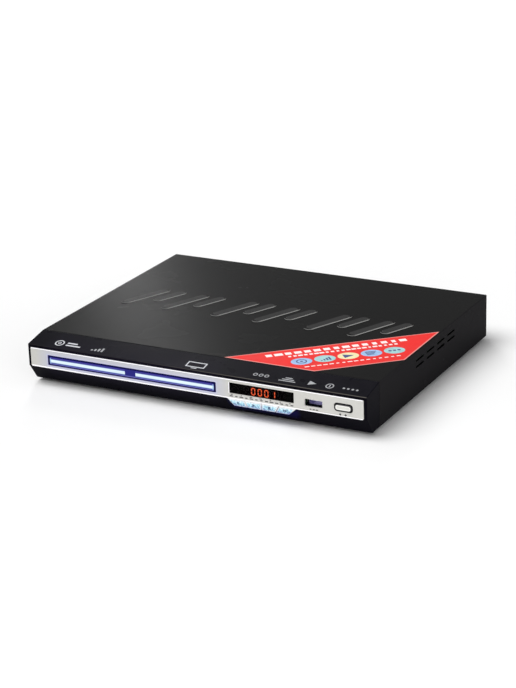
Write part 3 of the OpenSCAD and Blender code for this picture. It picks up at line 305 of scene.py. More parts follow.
def lit_door():
    """Translucent blue front of the tray, lit from behind along its middle."""
    material, tree, place = new_surface("lit_blue_door")
    low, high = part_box("tray_door")
    middle, half = middle_and_half(low, high)
    end_zone, box_half = 0.01, 0.0058
    axes = coordinates(tree, place)
    up = progress(tree, axes["Z"], low.z, high.z)
    aside = maths(tree, "ABSOLUTE", maths(tree, "SUBTRACT", axes["X"], middle.x))
    inside = maths(tree, "DIVIDE", maths(tree, "SUBTRACT", half.x, aside), end_zone)
    broad, fine = coarse_and_fine(tree, place, 0.004, 0.0004, (0.4, 1, 1))
    bands = ramp(tree, up, DOOR_BANDS)
    streaks = add(tree, "ShaderNodeTexNoise",
                  {"Vector": add(tree, "ShaderNodeMapping",
                                 {"Vector": place, "Scale": (30, 1, 1400)}).outputs[0],
                   "Scale": 1.0, "Detail": 2.0}).outputs["Fac"]
    ahead = maths(tree, "LESS_THAN", facing(tree)["Y"], -0.5)
    strength = maths(tree, "MULTIPLY", ahead, maths(tree, "MULTIPLY_ADD", streaks, 0.5, 0.75))
    edge = mask(tree, inside, [(0.0, 1), (0.19, 1), (0.22, 0), (0.5, 0)])
    rim = mask(tree, inside, [(0.20, 0), (0.23, 0.8), (0.29, 0.8), (0.38, 0)])
    inner = mask(tree, up, [(0.16, 0), (0.24, 1), (0.70, 1), (0.78, 0)])
    window = maths(tree, "MULTIPLY", maths(tree, "LESS_THAN", aside, box_half),
                   mask(tree, up, [(0.22, 0), (0.26, 1), (0.78, 1), (0.82, 0)]))
    colour = blended(tree, maths(tree, "MULTIPLY", rim, inner), bands, linear(160, 196, 240))
    colour = blended(tree, window, colour, linear(40, 40, 124))
    colour = blended(tree, edge, colour, linear(7, 7, 64))
    shader = surface_shader(tree, linear(8, 8, 30), 0.16, fine, broad, 0.03, 0.00003,
                            Specular_IOR_Level=0.05)
    tree.links.new(colour, shader.inputs["Emission Color"])
    tree.links.new(strength, shader.inputs["Emission Strength"])
    return done(material, shader)


def smoked_glass():
    """Dark smoked cover of the display, through which the lit digits show."""
    material, tree, place = new_surface("smoked_glass")
    broad, fine = coarse_and_fine(tree, place, 0.02, 0.0006)
    base = linear(9, 7, 8)
    tint = mottled(tree, broad, base, 0.1)
    shader = surface_shader(tree, tint, 0.1, fine, broad, 0.01, 0.00002,
                            Alpha=0.64, Specular_IOR_Level=0.02)
    return done(material, shader)


def glowing(name, colour, light, strength):
    """A lit plastic: its glow varies a little from place to place."""
    material, tree, place = new_surface(name)
    broad, fine = coarse_and_fine(tree, place, 0.003, 0.0004)
    base = linear(*colour)
    tint = ramp(tree, broad, [(0.3, shaded(base, 0.92)), (0.7, shaded(base, 1.06))])
    shader = surface_shader(tree, tint, 0.3, fine, broad, 0.05, Emission_Strength=strength)
    shine = linear(*light)
    lit = ramp(tree, broad, [(0.3, shaded(shine, 0.88)), (0.7, shine)])
    tree.links.new(lit, shader.inputs["Emission Color"])
    return done(material, shader)


def power_key_paint():
    """Silver key paint with a painted highlight, a brighter band along its rim, on a body that is
    black round its sides.
    """
    material, tree, place = new_surface("silver_key_paint")
    broad, fine = coarse_and_fine(tree, place, 0.004, 0.0003)
    rounding, half_wide, half_tall = 0.0026, 0.00805, 0.00285
    middle = middle_and_half(*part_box("power_key"))[0]
    away = away_from(tree, place, middle, Vector((half_wide - rounding, 0, half_tall - rounding)))
    # Painted highlight: the near-white band between the middle and the black sides
    zones_with_painted_highlight = ramp(tree, maths(tree, "DIVIDE", away, rounding), [
        (0.0, linear(219, 218, 211)), (0.46, linear(222, 221, 214)), (0.54, linear(247, 246, 242)),
        (0.74, linear(247, 246, 242)), (0.79, linear(16, 15, 16)), (1.0, linear(12, 12, 13))])
    wear_and_painted_highlight = mask(tree, broad, [(0.3, 0.93), (0.7, 1)])
    tint = blended(tree, 0.06, zones_with_painted_highlight, wear_and_painted_highlight)
    shader = surface_shader(tree, tint, 0.3, fine, broad, 0.08, Specular_IOR_Level=0.2)
    return done(material, shader)


def painted_key_shading(tree, place, patch, colours):
    """Mottled colour of the key row, with painted shade making its foot darker and violet and
    painted light making its top pale.
    """
    broad, fine = coarse_and_fine(tree, place, patch, 0.0004)
    low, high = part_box("open_key")
    up = progress(tree, coordinates(tree, place)["Z"], low.z, high.z, clamp=True)
    uneven = maths(tree, "MULTIPLY_ADD", broad, 2.0, maths(tree, "SUBTRACT", up, 0.98))
    return ramp(tree, uneven, colours), broad, fine


def gloss_key():
    """Pale silvery key plastic, made darker and a little violet along its foot by painted shade."""
    material, tree, place = new_surface("pale_key_plastic")
    tint, broad, fine = painted_key_shading(tree, place, 0.003, [
        (0.0, linear(150, 156, 205)), (0.25, linear(196, 204, 226)), (0.6, linear(236, 238, 240)),
        (1.0, linear(250, 250, 250))])
    shader = surface_shader(tree, tint, 0.22, fine, broad, 0.04, Coat_Weight=0.3)
    return done(material, shader)


def key_lens():
    """Lit cyan middle of a key."""
    material, tree, place = new_surface("cyan_key_middle")
    tint, broad, fine = painted_key_shading(tree, place, 0.0015, [
        (0.05, linear(108, 122, 172)), (0.25, linear(128, 168, 200)), (0.5, linear(160, 212, 226)),
        (0.75, linear(198, 226, 238)), (1.0, linear(232, 240, 244))])
    shader = surface_shader(tree, tint, 0.15, fine, broad, 0.03, Emission_Strength=0.12,
                            Coat_Weight=0.3)
    tree.links.new(tint, shader.inputs["Emission Color"])
    return done(material, shader)


def front_moulding():
    """Polished black moulding, with a painted highlight as a thin paler line along its upper front
    edge;
    round the door and the keys it is tinted with a painted glow of their light."""
    material, tree, place = new_surface("polished_black_moulding")
    broad, fine = coarse_and_fine(tree, place, 0.03, 0.0006)
    base = linear(13, 12, 19)
    tint = mottled(tree, broad, base, 0.07)
    # Painted highlight: a thin paler line along the upper front edge, fading towards the left
    edge = at(0, 0, STRIP_LOW)
    axes = coordinates(tree, place)
    off = maths(tree, "ADD", maths(tree, "ABSOLUTE", maths(tree, "SUBTRACT", axes["Y"], edge.y)),
                maths(tree, "ABSOLUTE", maths(tree, "SUBTRACT", axes["Z"], edge.z)))
    line = nearness(tree, off, 0.0007)
    along = add(tree, "ShaderNodeMapRange", {"Value": axes["X"], "From Min": -0.06,
                                             "From Max": 0.06, "To Min": 0.15, "To Max": 1.0})
    wear_and_painted_highlight = maths(tree, "MULTIPLY", line, along.outputs[0])
    # Painted glow: tints round the door and the keys stand in for their light falling on the
    # moulding
    within = Vector((0.006, 0, 0.001))
    for low, high, reach, shine in (
            (*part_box("tray_door"), 0.016, (26, 23, 36)),
            (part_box("open_key")[0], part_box("skip_key")[1], 0.009, (20, 20, 74))):
        middle, half = middle_and_half(low, high)
        near = nearness(tree, away_from(tree, place, middle, half - within), reach)
        tint = blended(tree, near, tint, linear(*shine))
    colour = blended(tree, wear_and_painted_highlight, tint, linear(112, 108, 102))
    shader = surface_shader(tree, colour, 0.3, fine, broad, 0.06, Specular_IOR_Level=0.009)
    return done(material, shader)


def sticker_film():
    """Red gloss film with a thin pale edge all round."""
    material, tree, place = new_surface("red_sticker_film")
    broad, fine = coarse_and_fine(tree, place, 0.02, 0.0006)
    nearest = None
    for a, b in zip(STICKER, STICKER[1:] + STICKER[:1]):
        inward = Vector((a.y - b.y, b.x - a.x, 0)).normalized()
        reach = add(tree, "ShaderNodeVectorMath", {0: place, 1: inward},
                    operation="DOT_PRODUCT").outputs["Value"]
        apart = maths(tree, "SUBTRACT", reach, inward.dot(a))
        nearest = apart if nearest is None else maths(tree, "MINIMUM", nearest, apart)
    rim = nearness(tree, nearest, 0.0014)
    base = linear(232, 46, 43)
    tint = mottled(tree, broad, base, 0.05)
    colour = blended(tree, maths(tree, "POWER", rim, 0.6), tint, linear(246, 168, 160))
    shader = surface_shader(tree, colour, 0.5, fine, broad, 0.03, Specular_IOR_Level=0.03)
    return done(material, shader)


def collar_colours(name, colours):
    """Coloured socket collars: each takes its colour from its place along the row."""
    material, tree, place = new_surface(name)
    broad, fine = coarse_and_fine(tree, place, 0.004, 0.0004)
    low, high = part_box("jack_block")
    along = progress(tree, coordinates(tree, place)["X"], low.x, high.x)
    stops = [(i / len(colours), linear(*c)) for i, c in enumerate(colours)]
    band = ramp(tree, along, stops, "CONSTANT")
    wear_and_painted_highlight = blended(tree, maths(tree, "MULTIPLY", broad, 0.2), band, linear(70, 70, 70))
    shader = surface_shader(tree, wear_and_painted_highlight, 0.35, fine, broad, 0.08)
    return done(material, shader)


def brushed(name, colour, roughness, stretch=(0.06, 1, 1)):
    """Sheet or bar of bare metal, with its grain along one axis."""
    return finish(name, colour, roughness, 0.07, 0.006, 0.0005, 0.18, 0.00004, stretch,
                  Metallic=0.9)


def circuit_board(name, colour):
    """Laminate with faint traces in two directions."""
    material, tree, place = new_surface(name)
    broad, fine = coarse_and_fine(tree, place, 0.02, 0.0006)
    base = linear(*colour)
    turned = add(tree, "ShaderNodeMapping", {"Vector": place, "Rotation": (0, 0, 0.785)}).outputs[0]
    cells = add(tree, "ShaderNodeTexBrick",
                {"Vector": turned, "Color1": shaded(base, 0.9), "Color2": shaded(base, 1.15),
                 "Mortar": shaded(base, 1.5), "Scale": 260.0, "Mortar Size": 0.03,
                 "Brick Width": 1.7, "Row Height": 0.6}).outputs["Color"]
    tint = mottled(tree, broad, base, 0.1)
    colour = blended(tree, 0.45, tint, cells)
    shader = surface_shader(tree, colour, 0.35, fine, broad, 0.1)
    return done(material, shader)


# Corners of the sticker, anticlockwise from above; its front right corner is cut off
NEAR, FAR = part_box("promo_sticker")
CUT_WIDE, CUT_DEEP = 0.064, 0.0591
STICKER = [Vector((NEAR.x, NEAR.y, 0)), Vector((FAR.x - CUT_WIDE, NEAR.y, 0)),
           Vector((FAR.x, NEAR.y + CUT_DEEP, 0)), Vector((FAR.x, FAR.y, 0))]

BODY_FINISHES = {
    "zinc_sheet": brushed("zinc_plated_sheet", (150, 152, 154), 0.42),
    "black_sheet": finish("satin_black_sheet", (36, 36, 38), 0.5, bump=0.2, grain=0.0006),
    # Painted light: the cover's steep sides are a little lighter than its top
    "charcoal_paint": powder_coat("charcoal_powder_coat", (22, 22, 22), 0.004, (33, 32, 34),
                                  highlight_above=at(0, 0, STRIP_HIGH).z + 0.00005),
    "front_black": front_moulding(),
    "silver_paint": metallic_paint(),
    "smoked_window": smoked_glass(),
    "display_housing": finish("display_housing", (8, 7, 8), 0.6, Specular_IOR_Level=0.02),
    "digit_glow": glowing("red_digit_glow", (200, 50, 26), (255, 104, 58), 8.5),
    "board_green": circuit_board("green_circuit_board", (26, 92, 54)),
    "board_tan": circuit_board("tan_circuit_board", (186, 150, 92)),
    "board_white": circuit_board("white_lamp_board", (222, 222, 220)),
    "switch_body": finish("switch_housing", (44, 44, 46), 0.45),
    "key_blue": gloss_key(),
    # Painted reflection: violet tint on the nickel shell; painted light: the white tongue glows
    "port_metal": brushed("nickel_port_shell", (158, 154, 186), 0.28),
    "port_white": finish("white_port_tongue_painted_glow", (236, 236, 238), 0.4,
                         Emission_Color=linear(150, 150, 166), Emission_Strength=0.6),
    "key_silver": power_key_paint(),
    "lamp_blue": glowing("blue_lamp", (170, 196, 255), (110, 150, 255), 2.0),
    "door_blue": lit_door(),
    "light_bar": glowing("frosted_light_guide", (214, 238, 255), (200, 228, 255), 1.0),
    "tray_grey": finish("textured_tray_plastic", (52, 52, 55), 0.5, 0.05, 0.02, 0.0005, 0.35),
    "loader_black": finish("black_loader_moulding", (34, 34, 36), 0.5, bump=0.2),
    "gear_white": finish("natural_acetal", (232, 231, 224), 0.38, 0.03),
    "belt_rubber": finish("square_belt_rubber", (20, 20, 20), 0.7, bump=0.3),
    "motor_steel": brushed("plated_motor_can", (184, 185, 188), 0.3, (1, 1, 0.08)),
    "brass": finish("turned_brass", (200, 168, 88), 0.28, 0.05, stretch=(1, 1, 6), Metallic=0.95),
    "plated_steel": brushed("pressed_plated_steel", (176, 178, 182), 0.34, (1, 0.08, 1)),
    "turntable_black": finish("soft_grip_ring", (26, 26, 26), 0.75, bump=0.35),
    "pickup_grey": finish("glass_filled_moulding", (78, 78, 82), 0.55, 0.08, bump=0.25),
    "lens": finish("coated_lens", (120, 130, 205), 0.06, 0.15, 0.002, Coat_Weight=1.0),
    "chip_black": finish("moulded_chip_case", (24, 24, 26), 0.5, bump=0.2),
    "transformer_yellow": finish("taped_winding", (212, 188, 66), 0.5, stretch=(1, 1, 5)),
    "nylon": finish("natural_nylon", (206, 205, 198), 0.5, 0.04),
    "screw_zinc": brushed("zinc_plated_screw", (196, 197, 200), 0.32, (1, 1, 1)),
    "jack_housing": finish("black_jack_housing", (20, 20, 21), 0.5, bump=0.2),
    "nickel": finish("nickel_barrel", (206, 205, 200), 0.18, 0.04, 0.003, Metallic=0.95),
    "ribbon_white": finish("flat_ribbon_cable", (232, 231, 226), 0.45, 0.08, 0.0012,
                           stretch=(1, 6, 1)),
    "wire_red": finish("red_wire_sleeve", (206, 48, 40), 0.45, 0.05),
    "sticker_red": sticker_film(),
    "screw_black": finish("blackened_screw", (30, 30, 31), 0.35, Metallic=0.6),
    "foot_rubber": finish("foot_rubber", (22, 22, 22), 0.8, bump=0.35),
}

WHITE_PRINT = finish("white_screen_print", (196, 198, 204), 0.5, 0.08, 0.002)
DARK_PRINT = finish("dark_screen_print", (58, 92, 126), 0.5, 0.08, 0.002)
LABEL_PRINT = finish("key_label_print", (58, 54, 60), 0.5, 0.08, 0.002)
GREY_PRINT = finish("grey_screen_print", (150, 152, 156), 0.5, 0.1, 0.002)
STICKER_WHITE, STICKER_BLUE, STICKER_TEAL, STICKER_CREAM, STICKER_NAVY = (
    finish(name, colour, 0.5, mottle, patch, Specular_IOR_Level=0.1)
    for name, colour, mottle, patch in (
        ("white_sticker_print", (252, 236, 234), 0.03, 0.004),
        ("pale_blue_print", (150, 186, 226), 0.12, 0.005),
        ("pale_teal_print", (158, 204, 206), 0.12, 0.005),
        ("cream_print", (236, 226, 176), 0.08, 0.005),
        ("navy_print", (58, 66, 122), 0.08, 0.003)))
# Near-white, faintly glowing film for painted highlights along edges
PAINTED_EDGE_HIGHLIGHT = finish("painted_edge_highlight", (252, 251, 253), 0.3, 0.01, 0.004,
                     Emission_Color=linear(150, 150, 158), Emission_Strength=0.5)
KEY_MIDDLE = key_lens()


# ------------------------------------------------------------------ pieces

GENTLE = math.radians(20)           # the sharpest bend that is shaded smooth


def paint(obj, material):
    """Gives a piece one material in place of those it has."""
    materials = obj.data.materials
    while materials:
        materials.pop(index=0)
    materials.append(material)


def rounded_shading(mesh):
    """Smooth shading on gentle curves only; flat faces stay flat."""
    mesh.set_sharp_from_angle(angle=GENTLE)
    bm = bmesh.new()
    bm.from_mesh(mesh)
    for face in bm.faces:
        bends = [edge.calc_face_angle(0) for edge in face.edges if len(edge.link_faces) == 2]
        face.smooth = (any(math.radians(1) < bend < GENTLE for bend in bends)
                       and face.calc_area() < 0.0002)
    bm.to_mesh(mesh)
    bm.free()


def settle(obj, body, slot_name, *replaced):
    """Joins a finished piece to its body and hides the nodes it replaces; its slot name is not
    used.
    """
    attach(obj, body)
    if replaced:
        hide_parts(*replaced)


def piece_from(name, bm, material, body, slot_name, *replaced):
    """A piece from mesh code, flat faced but for gentle curves."""
    bmesh.ops.recalc_face_normals(bm, faces=bm.faces)
    mesh = bpy.data.meshes.new(name)
    bm.to_mesh(mesh)
    bm.free()
    rounded_shading(mesh)
    obj = bpy.data.objects.new(name, mesh)
    bpy.context.scene.collection.objects.link(obj)
    paint(obj, material)
    settle(obj, body, slot_name, *replaced)


def dressed(node, width, shortest=0.0022, broken=lambda spot: True):
    """A node's own shape with its long sharp edges broken, as moulds and presses leave them.
    `broken` says from an edge's middle whether it is one of them."""
    bm = bmesh.new()
    bm.from_mesh(frame["nodes"][node].data)
    bmesh.ops.remove_doubles(bm, verts=bm.verts, dist=0.000002)
    bmesh.ops.dissolve_limit(bm, angle_limit=math.radians(0.6), verts=bm.verts, edges=bm.edges)
    bm.edges.ensure_lookup_table()
    sharp = [edge for edge in bm.edges
             if len(edge.link_faces) == 2 and edge.is_convex
             and edge.calc_face_angle() > math.radians(35)
             and edge.calc_length() > max(shortest, 3 * width)
             and broken((edge.verts[0].co + edge.verts[1].co) / 2)]
    bmesh.ops.bevel(bm, geom=sharp, offset=width, segments=2, profile=0.5, affect="EDGES",
                    clamp_overlap=False)
    slot_name = slot_of_node(node)
    piece_from(node + "_shell", bm, BODY_FINISHES[slot_name], body_of_node(node), slot_name, node)


def plate(bm, outline, thick):
    """A thin raised print or inlay: outline points, and a vector for its thickness."""
    low = [bm.verts.new(p) for p in outline]
    high = [bm.verts.new(p + thick) for p in outline]
    bm.faces.new(high)
    bm.faces.new(low[::-1])
    for i in range(len(low)):
        j = (i + 1) % len(low)
        bm.faces.new((low[i], low[j], high[j], high[i]))


def circle_points(x, y, radius, count):
    return [(x + radius * math.cos(2 * math.pi * i / count),
             y + radius * math.sin(2 * math.pi * i / count)) for i in range(count)]


def bar_points(x0, y0, x1, y1):
    return [(x0, y0), (x1, y0), (x1, y1), (x0, y1)]


def ring_plates(bm, where, x, y, radius, width, thick):
    """A flat ring, in short straight plates joined end to end."""
    count = 24
    outer = circle_points(x, y, radius, count)
    inner = circle_points(x, y, radius - width, count)
    rims = [[bm.verts.new(where(*p) + lift) for p in line]
            for lift in (Vector(), thick) for line in (outer, inner)]
    for i in range(count):
        j = (i + 1) % count
        for a, b in ((0, 1), (1, 3), (3, 2), (2, 0)):
            bm.faces.new((rims[a][i], rims[a][j], rims[b][j], rims[b][i]))


# ------------------------------------------------------------------ repeated pieces

def start_tree(name, inputs):
    """A geometry tree with named inputs; returns it with its input node."""
    tree = bpy.data.node_groups.new(name, "GeometryNodeTree")
    tree.interface.new_socket("Geometry", in_out="OUTPUT", socket_type="NodeSocketGeometry")
    for label, kind, value in inputs:
        socket = tree.interface.new_socket(label, in_out="INPUT", socket_type="NodeSocket" + kind)
        if value is not None:
            socket.default_value = value
    return tree, tree.nodes.new("NodeGroupInput").outputs


def end_tree(tree, shape, material):
    real = add(tree, "GeometryNodeRealizeInstances", {"Geometry": shape}).outputs[0]
    painted = add(tree, "GeometryNodeSetMaterial",
                  {"Geometry": real, "Material": material}).outputs[0]
    out = tree.nodes.new("NodeGroupOutput")
    tree.links.new(painted, out.inputs[0])
    return tree


def grown(name, tree, values, body, slot_name):
    """A piece from a geometry tree, turned into a plain mesh."""
    obj = bpy.data.objects.new(name, bpy.data.meshes.new(name))
    modifier = obj.modifiers.new("growth", "NODES")
    modifier.node_group = tree
    for item in tree.interface.items_tree:
        if item.item_type == "SOCKET" and item.in_out == "INPUT" and item.name in values:
            modifier[item.identifier] = values[item.name]
    bpy.context.scene.collection.objects.link(obj)
    ready = bpy.context.evaluated_depsgraph_get()
    ready.update()
    mesh = bpy.data.meshes.new_from_object(obj.evaluated_get(ready), depsgraph=ready)
    obj.modifiers.clear()
    obj.data = mesh
    rounded_shading(mesh)
    settle(obj, body, slot_name)


def rib_tree():
    """Slanted ribs in groups, long and short in turn, with sloped flanks."""
    tree, given = start_tree("raised_ribs", [
        ("Count", "Int", 12), ("Per Group", "Int", 4), ("Group Spacing", "Float", 0.1),
        ("Pitch", "Float", 0.02), ("Long", "Float", 0.05), ("Short", "Float", 0.03),
        ("Set Back", "Float", 0.0), ("Width", "Float", 0.009), ("Height", "Float", 0.0006),
        ("Flank", "Float", 0.9), ("Turn", "Float", 0.0), ("Origin", "Vector", None),
        ("Finish", "Material", None)])
    line = add(tree, "GeometryNodeMeshLine", {"Count": given["Count"]}).outputs[0]
    index = tree.nodes.new("GeometryNodeInputIndex").outputs[0]
    group = maths(tree, "FLOOR", maths(tree, "DIVIDE", index, given["Per Group"]))
    place = maths(tree, "MODULO", index, given["Per Group"])
    odd = maths(tree, "MODULO", place, 2.0)
    last = maths(tree, "SUBTRACT", maths(tree, "DIVIDE", given["Count"], given["Per Group"]), 1.0)
    from_middle = maths(tree, "SUBTRACT", group, maths(tree, "DIVIDE", last, 2.0))
    group_x = maths(tree, "MULTIPLY", from_middle, given["Group Spacing"])
    middle = maths(tree, "DIVIDE", maths(tree, "SUBTRACT", given["Per Group"], 1.0), 2.0)
    own_x = maths(tree, "MULTIPLY", maths(tree, "SUBTRACT", place, middle), given["Pitch"])
    spot = add(tree, "ShaderNodeCombineXYZ", {
        "X": maths(tree, "ADD", group_x, own_x),
        "Y": maths(tree, "MULTIPLY", odd, given["Set Back"])}).outputs[0]
    spot = add(tree, "ShaderNodeVectorMath", {0: spot, 1: given["Origin"]},
               operation="ADD").outputs["Vector"]
    points = add(tree, "GeometryNodeSetPosition", {"Geometry": line, "Position": spot}).outputs[0]
    shapes = []
    for length in (given["Short"], given["Long"]):
        frame_line = add(tree, "GeometryNodeCurvePrimitiveQuadrilateral",
                         {"Width": length, "Height": given["Width"]}).outputs[0]
        radius = maths(tree, "MULTIPLY", given["Width"], 0.499)
        rounded = add(tree, "GeometryNodeFilletCurve",
                      {"Curve": frame_line, "Radius": radius, "Count": 8}, mode="POLY").outputs[0]
        flat = add(tree, "GeometryNodeFillCurve", {"Curve": rounded}, mode="NGONS").outputs[0]
        raised = add(tree, "GeometryNodeExtrudeMesh",
                     {"Mesh": flat, "Offset Scale": given["Height"], "Individual": False})
        sloped = add(tree, "GeometryNodeScaleElements",
                     {"Geometry": raised.outputs["Mesh"], "Selection": raised.outputs["Top"],
                      "Scale": given["Flank"]}).outputs[0]
        shapes.append(add(tree, "GeometryNodeGeometryToInstance", {0: sloped}).outputs[0])
    both = tree.nodes.new("GeometryNodeJoinGeometry")
    for shape in shapes:
        tree.links.new(shape, both.inputs[0])
    turn = add(tree, "ShaderNodeCombineXYZ", {"Z": given["Turn"]}).outputs[0]
    ribs = add(tree, "GeometryNodeInstanceOnPoints",
               {"Points": points, "Instance": both.outputs[0], "Pick Instance": True,
                "Instance Index": odd, "Rotation": turn}).outputs[0]
    return end_tree(tree, ribs, given["Finish"])


def mark_row_tree():
    """A row of small printed bars of uneven length."""
    tree, given = start_tree("printed_marks", [
        ("Count", "Int", 6), ("Step", "Vector", None), ("Origin", "Vector", None),
        ("Shortest", "Float", 0.5), ("Longest", "Float", 1.0), ("Size", "Vector", None),
        ("Turn", "Float", 0.0), ("Seed", "Int", 1), ("Finish", "Material", None)])
    line = add(tree, "GeometryNodeMeshLine",
               {"Count": given["Count"], "Start Location": given["Origin"],
                "Offset": given["Step"]}).outputs[0]
    bar = add(tree, "GeometryNodeMeshCube", {"Size": given["Size"]}).outputs[0]
    length = add(tree, "FunctionNodeRandomValue",
                 {"Min": given["Shortest"], "Max": given["Longest"], "Seed": given["Seed"]},
                 data_type="FLOAT")
    stretch = add(tree, "ShaderNodeCombineXYZ",
                  {"X": [o for o in length.outputs if o.enabled][0], "Y": 1.0, "Z": 1.0}).outputs[0]
    turn = add(tree, "ShaderNodeCombineXYZ", {"Z": given["Turn"]}).outputs[0]
    bars = add(tree, "GeometryNodeInstanceOnPoints",
               {"Points": line, "Instance": bar, "Scale": stretch, "Rotation": turn}).outputs[0]
    return end_tree(tree, bars, given["Finish"])


def collar_row_tree():
    """A row of rings standing off a back panel."""
    tree, given = start_tree("socket_collars", [
        ("Count", "Int", 5), ("Pitch", "Float", 0.014), ("Origin", "Vector", None),
        ("Radius", "Float", 0.0052), ("Width", "Float", 0.0014), ("Depth", "Float", 0.0008),
        ("Finish", "Material", None)])
    step = add(tree, "ShaderNodeCombineXYZ", {"X": given["Pitch"]}).outputs[0]
    line = add(tree, "GeometryNodeMeshLine",
               {"Count": given["Count"], "Start Location": given["Origin"],
                "Offset": step}).outputs[0]
    path = add(tree, "GeometryNodeCurvePrimitiveCircle",
               {"Resolution": 40, "Radius": given["Radius"]}).outputs[0]
    section = add(tree, "GeometryNodeCurvePrimitiveQuadrilateral",
                  {"Width": given["Width"], "Height": given["Depth"]}).outputs[0]
    ring = add(tree, "GeometryNodeCurveToMesh",
               {"Curve": path, "Profile Curve": section}).outputs[0]
    rings = add(tree, "GeometryNodeInstanceOnPoints",
                {"Points": line, "Instance": ring, "Rotation": (math.pi / 2, 0, 0)}).outputs[0]
    return end_tree(tree, rings, given["Finish"])


# ------------------------------------------------------------------ finishes on the nodes

for name, obj in frame["nodes"].items():
    paint(obj, BODY_FINISHES[slot_of_node(name)])
paint(frame["nodes"]["port_board"], circuit_board("navy_circuit_board", (14, 18, 40)))


def outer_front(spot):
    """The front moulding's outer edges, but for those under the silver plate."""
    low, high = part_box("front_panel")
    plate_low, plate_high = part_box("silver_fascia")
    covered = (plate_low.x - 0.001 < spot.x < plate_high.x + 0.001
               and plate_low.z - 0.001 < spot.z < plate_high.z + 0.001)
    on_hull = (spot.y < FACE_Y + 0.0012 or spot.z > high.z - 0.0003 or spot.z < low.z + 0.0005
               or spot.x < low.x + 0.0005 or spot.x > high.x - 0.0005)
    return on_hull and not covered


def before_hem(spot):
    """All edges of the cover but those of its open rear hem."""
    return spot.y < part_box("top_cover")[1].y - 0.0015


dressed("top_cover", 0.0006, broken=before_hem)
dressed("front_panel", 0.00045, broken=outer_front)
dressed("silver_fascia", 0.0002)
dressed("tray_door", 0.0002)
dressed("display_window", 0.00025)
dressed("disc_tray", 0.0003)
dressed("power_key", 0.0003)
dressed("feet", 0.0004, 0.0012)
for key in KEYS:
    dressed(key, 0.00035, 0.0015)

RIB_LEAN = math.radians(24)
RIB_COVER = 0.0004                  # how much longer than the solid's own ribs
RIB_SINK = Vector((0, 0, 0.00003))
grown("cover_embossing", rib_tree(), {
    "Count": 12, "Per Group": 4, "Group Spacing": 0.103, "Pitch": 0.023,
    "Long": 0.054 / math.cos(RIB_LEAN) + RIB_COVER,
    "Short": 0.036 / math.cos(RIB_LEAN) + RIB_COVER,
    "Set Back": 0.009, "Width": 0.0104, "Height": 0.00068, "Flank": 0.87,
    "Turn": math.pi / 2 - RIB_LEAN, "Origin": at(0, 154, STRIP_HIGH) - RIB_SINK,
    # Painted highlight: the ribs' flanks are painted pale
    "Finish": powder_coat("charcoal_powder_coat_ribs", (54, 54, 54), 0.003, RIB_FLANK_HIGHLIGHT)},
    "case", "charcoal_paint")


# ------------------------------------------------------------------ front painted highlights, figures, inlays and prints

def painted_plate_highlights():
    """Painted highlights: bright, faintly glowing strips along the top and bottom edges of the
    silver plate.
    """
    low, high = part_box("silver_fascia")
    bm = bmesh.new()
    for z, left, right in ((high.z - 0.0007, 0.0009, 0.0008), (low.z - 0.0004, 0.0012, 0.0006)):
        outline = [Vector((x, low.y, z + dz)) for x, dz in
                   ((low.x + 0.001, 0), (high.x - 0.001, 0),
                    (high.x - 0.0006, right), (low.x + 0.0006, left))]
        plate(bm, outline, Vector((0, -0.00022, 0)))
    piece_from("silver_plate_painted_highlights", bm, PAINTED_EDGE_HIGHLIGHT, "case", "silver_paint")


def painted_window_highlight():
    """Painted highlight: a pale, faintly glowing upright strip at the left edge of the display
    window.
    """
    low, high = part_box("display_window")
    right, wide, short = at(41.0, 0, 0).x, 0.0007, 0.0009
    bm = bmesh.new()
    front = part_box("silver_fascia")[0].y
    shape = bar_points(right - wide, low.z + short, right, high.z - short)
    plate(bm, [Vector((x, front, z)) for x, z in shape], Vector((0, -0.0001, 0)))
    piece_from("display_window_painted_highlight", bm, PAINTED_EDGE_HIGHLIGHT, "case", "silver_paint")


def display_figures():
    """Lit figures behind the display window: bright strokes over a dim red halo, which is a painted
    glow round them.
    """
    shown = "0001"
    pitch, wide, tall, height = 6.8, 3.4, 6.3, 25.0
    stroke, halo, gap = 0.75, 1.7, 0.75
    middle = middle_and_half(*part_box("display_window"))[0].x * 1000
    front = (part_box("display_digits")[0].y - FACE_Y) * 1000
    uprights = [(x, z) for x in (-wide / 2, wide / 2) for z in (-tall / 4, tall / 4)]
    levels = [(0, -tall / 2), (0, tall / 2)]

    def strokes(name, film, thick, depth, *replaced):
        bm = bmesh.new()
        for i, figure in enumerate(shown):
            across = middle + (i - (len(shown) - 1) / 2) * pitch
            bars = [(x, z, thick, tall / 2 - gap) for x, z in uprights if figure == "0" or x > 0]
            bars += [(x, z, wide - gap, thick) for x, z in levels if figure == "0"]
            for x, z, w, h in bars:
                shape = bar_points(x - w / 2, z - h / 2, x + w / 2, z + h / 2)
                plate(bm, [at(across + px, depth, height + pz) for px, pz in shape],
                      Vector((0, -0.00003, 0)))
        piece_from(name, bm, film, body_of_node("display_digits"), slot_of_node("display_digits"),
                   *replaced)

    # Painted glow: a wider, dim red glowing plate round the figures
    painted_red_glow_material = glowing("painted_red_glow", (60, 10, 6), (150, 26, 12), 2.2)
    strokes("display_painted_glow", painted_red_glow_material, halo, front + 0.2)
    strokes("display_figures", BODY_FINISHES["digit_glow"], stroke, front + 0.1, "display_digits")


LABEL_Y = -0.42                     # labels and key signs, just before the silver plate, mm
KEY_MID_X = (at(0, 0, 0) + (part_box("open_key")[0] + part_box("skip_key")[1]) / 2).x * 1000
KEY_ROW = dict(top=72.8, low=56.8, z1=16.8, z0=9.6)     # its widths and heights, mm


def key_edge(i, z):
    """Left edge of key i at a height, mm."""
    share = (z - KEY_ROW["z0"]) / (KEY_ROW["z1"] - KEY_ROW["z0"])
    width = KEY_ROW["low"] + (KEY_ROW["top"] - KEY_ROW["low"]) * share
    return KEY_MID_X + width * (i / 4 - 0.5)


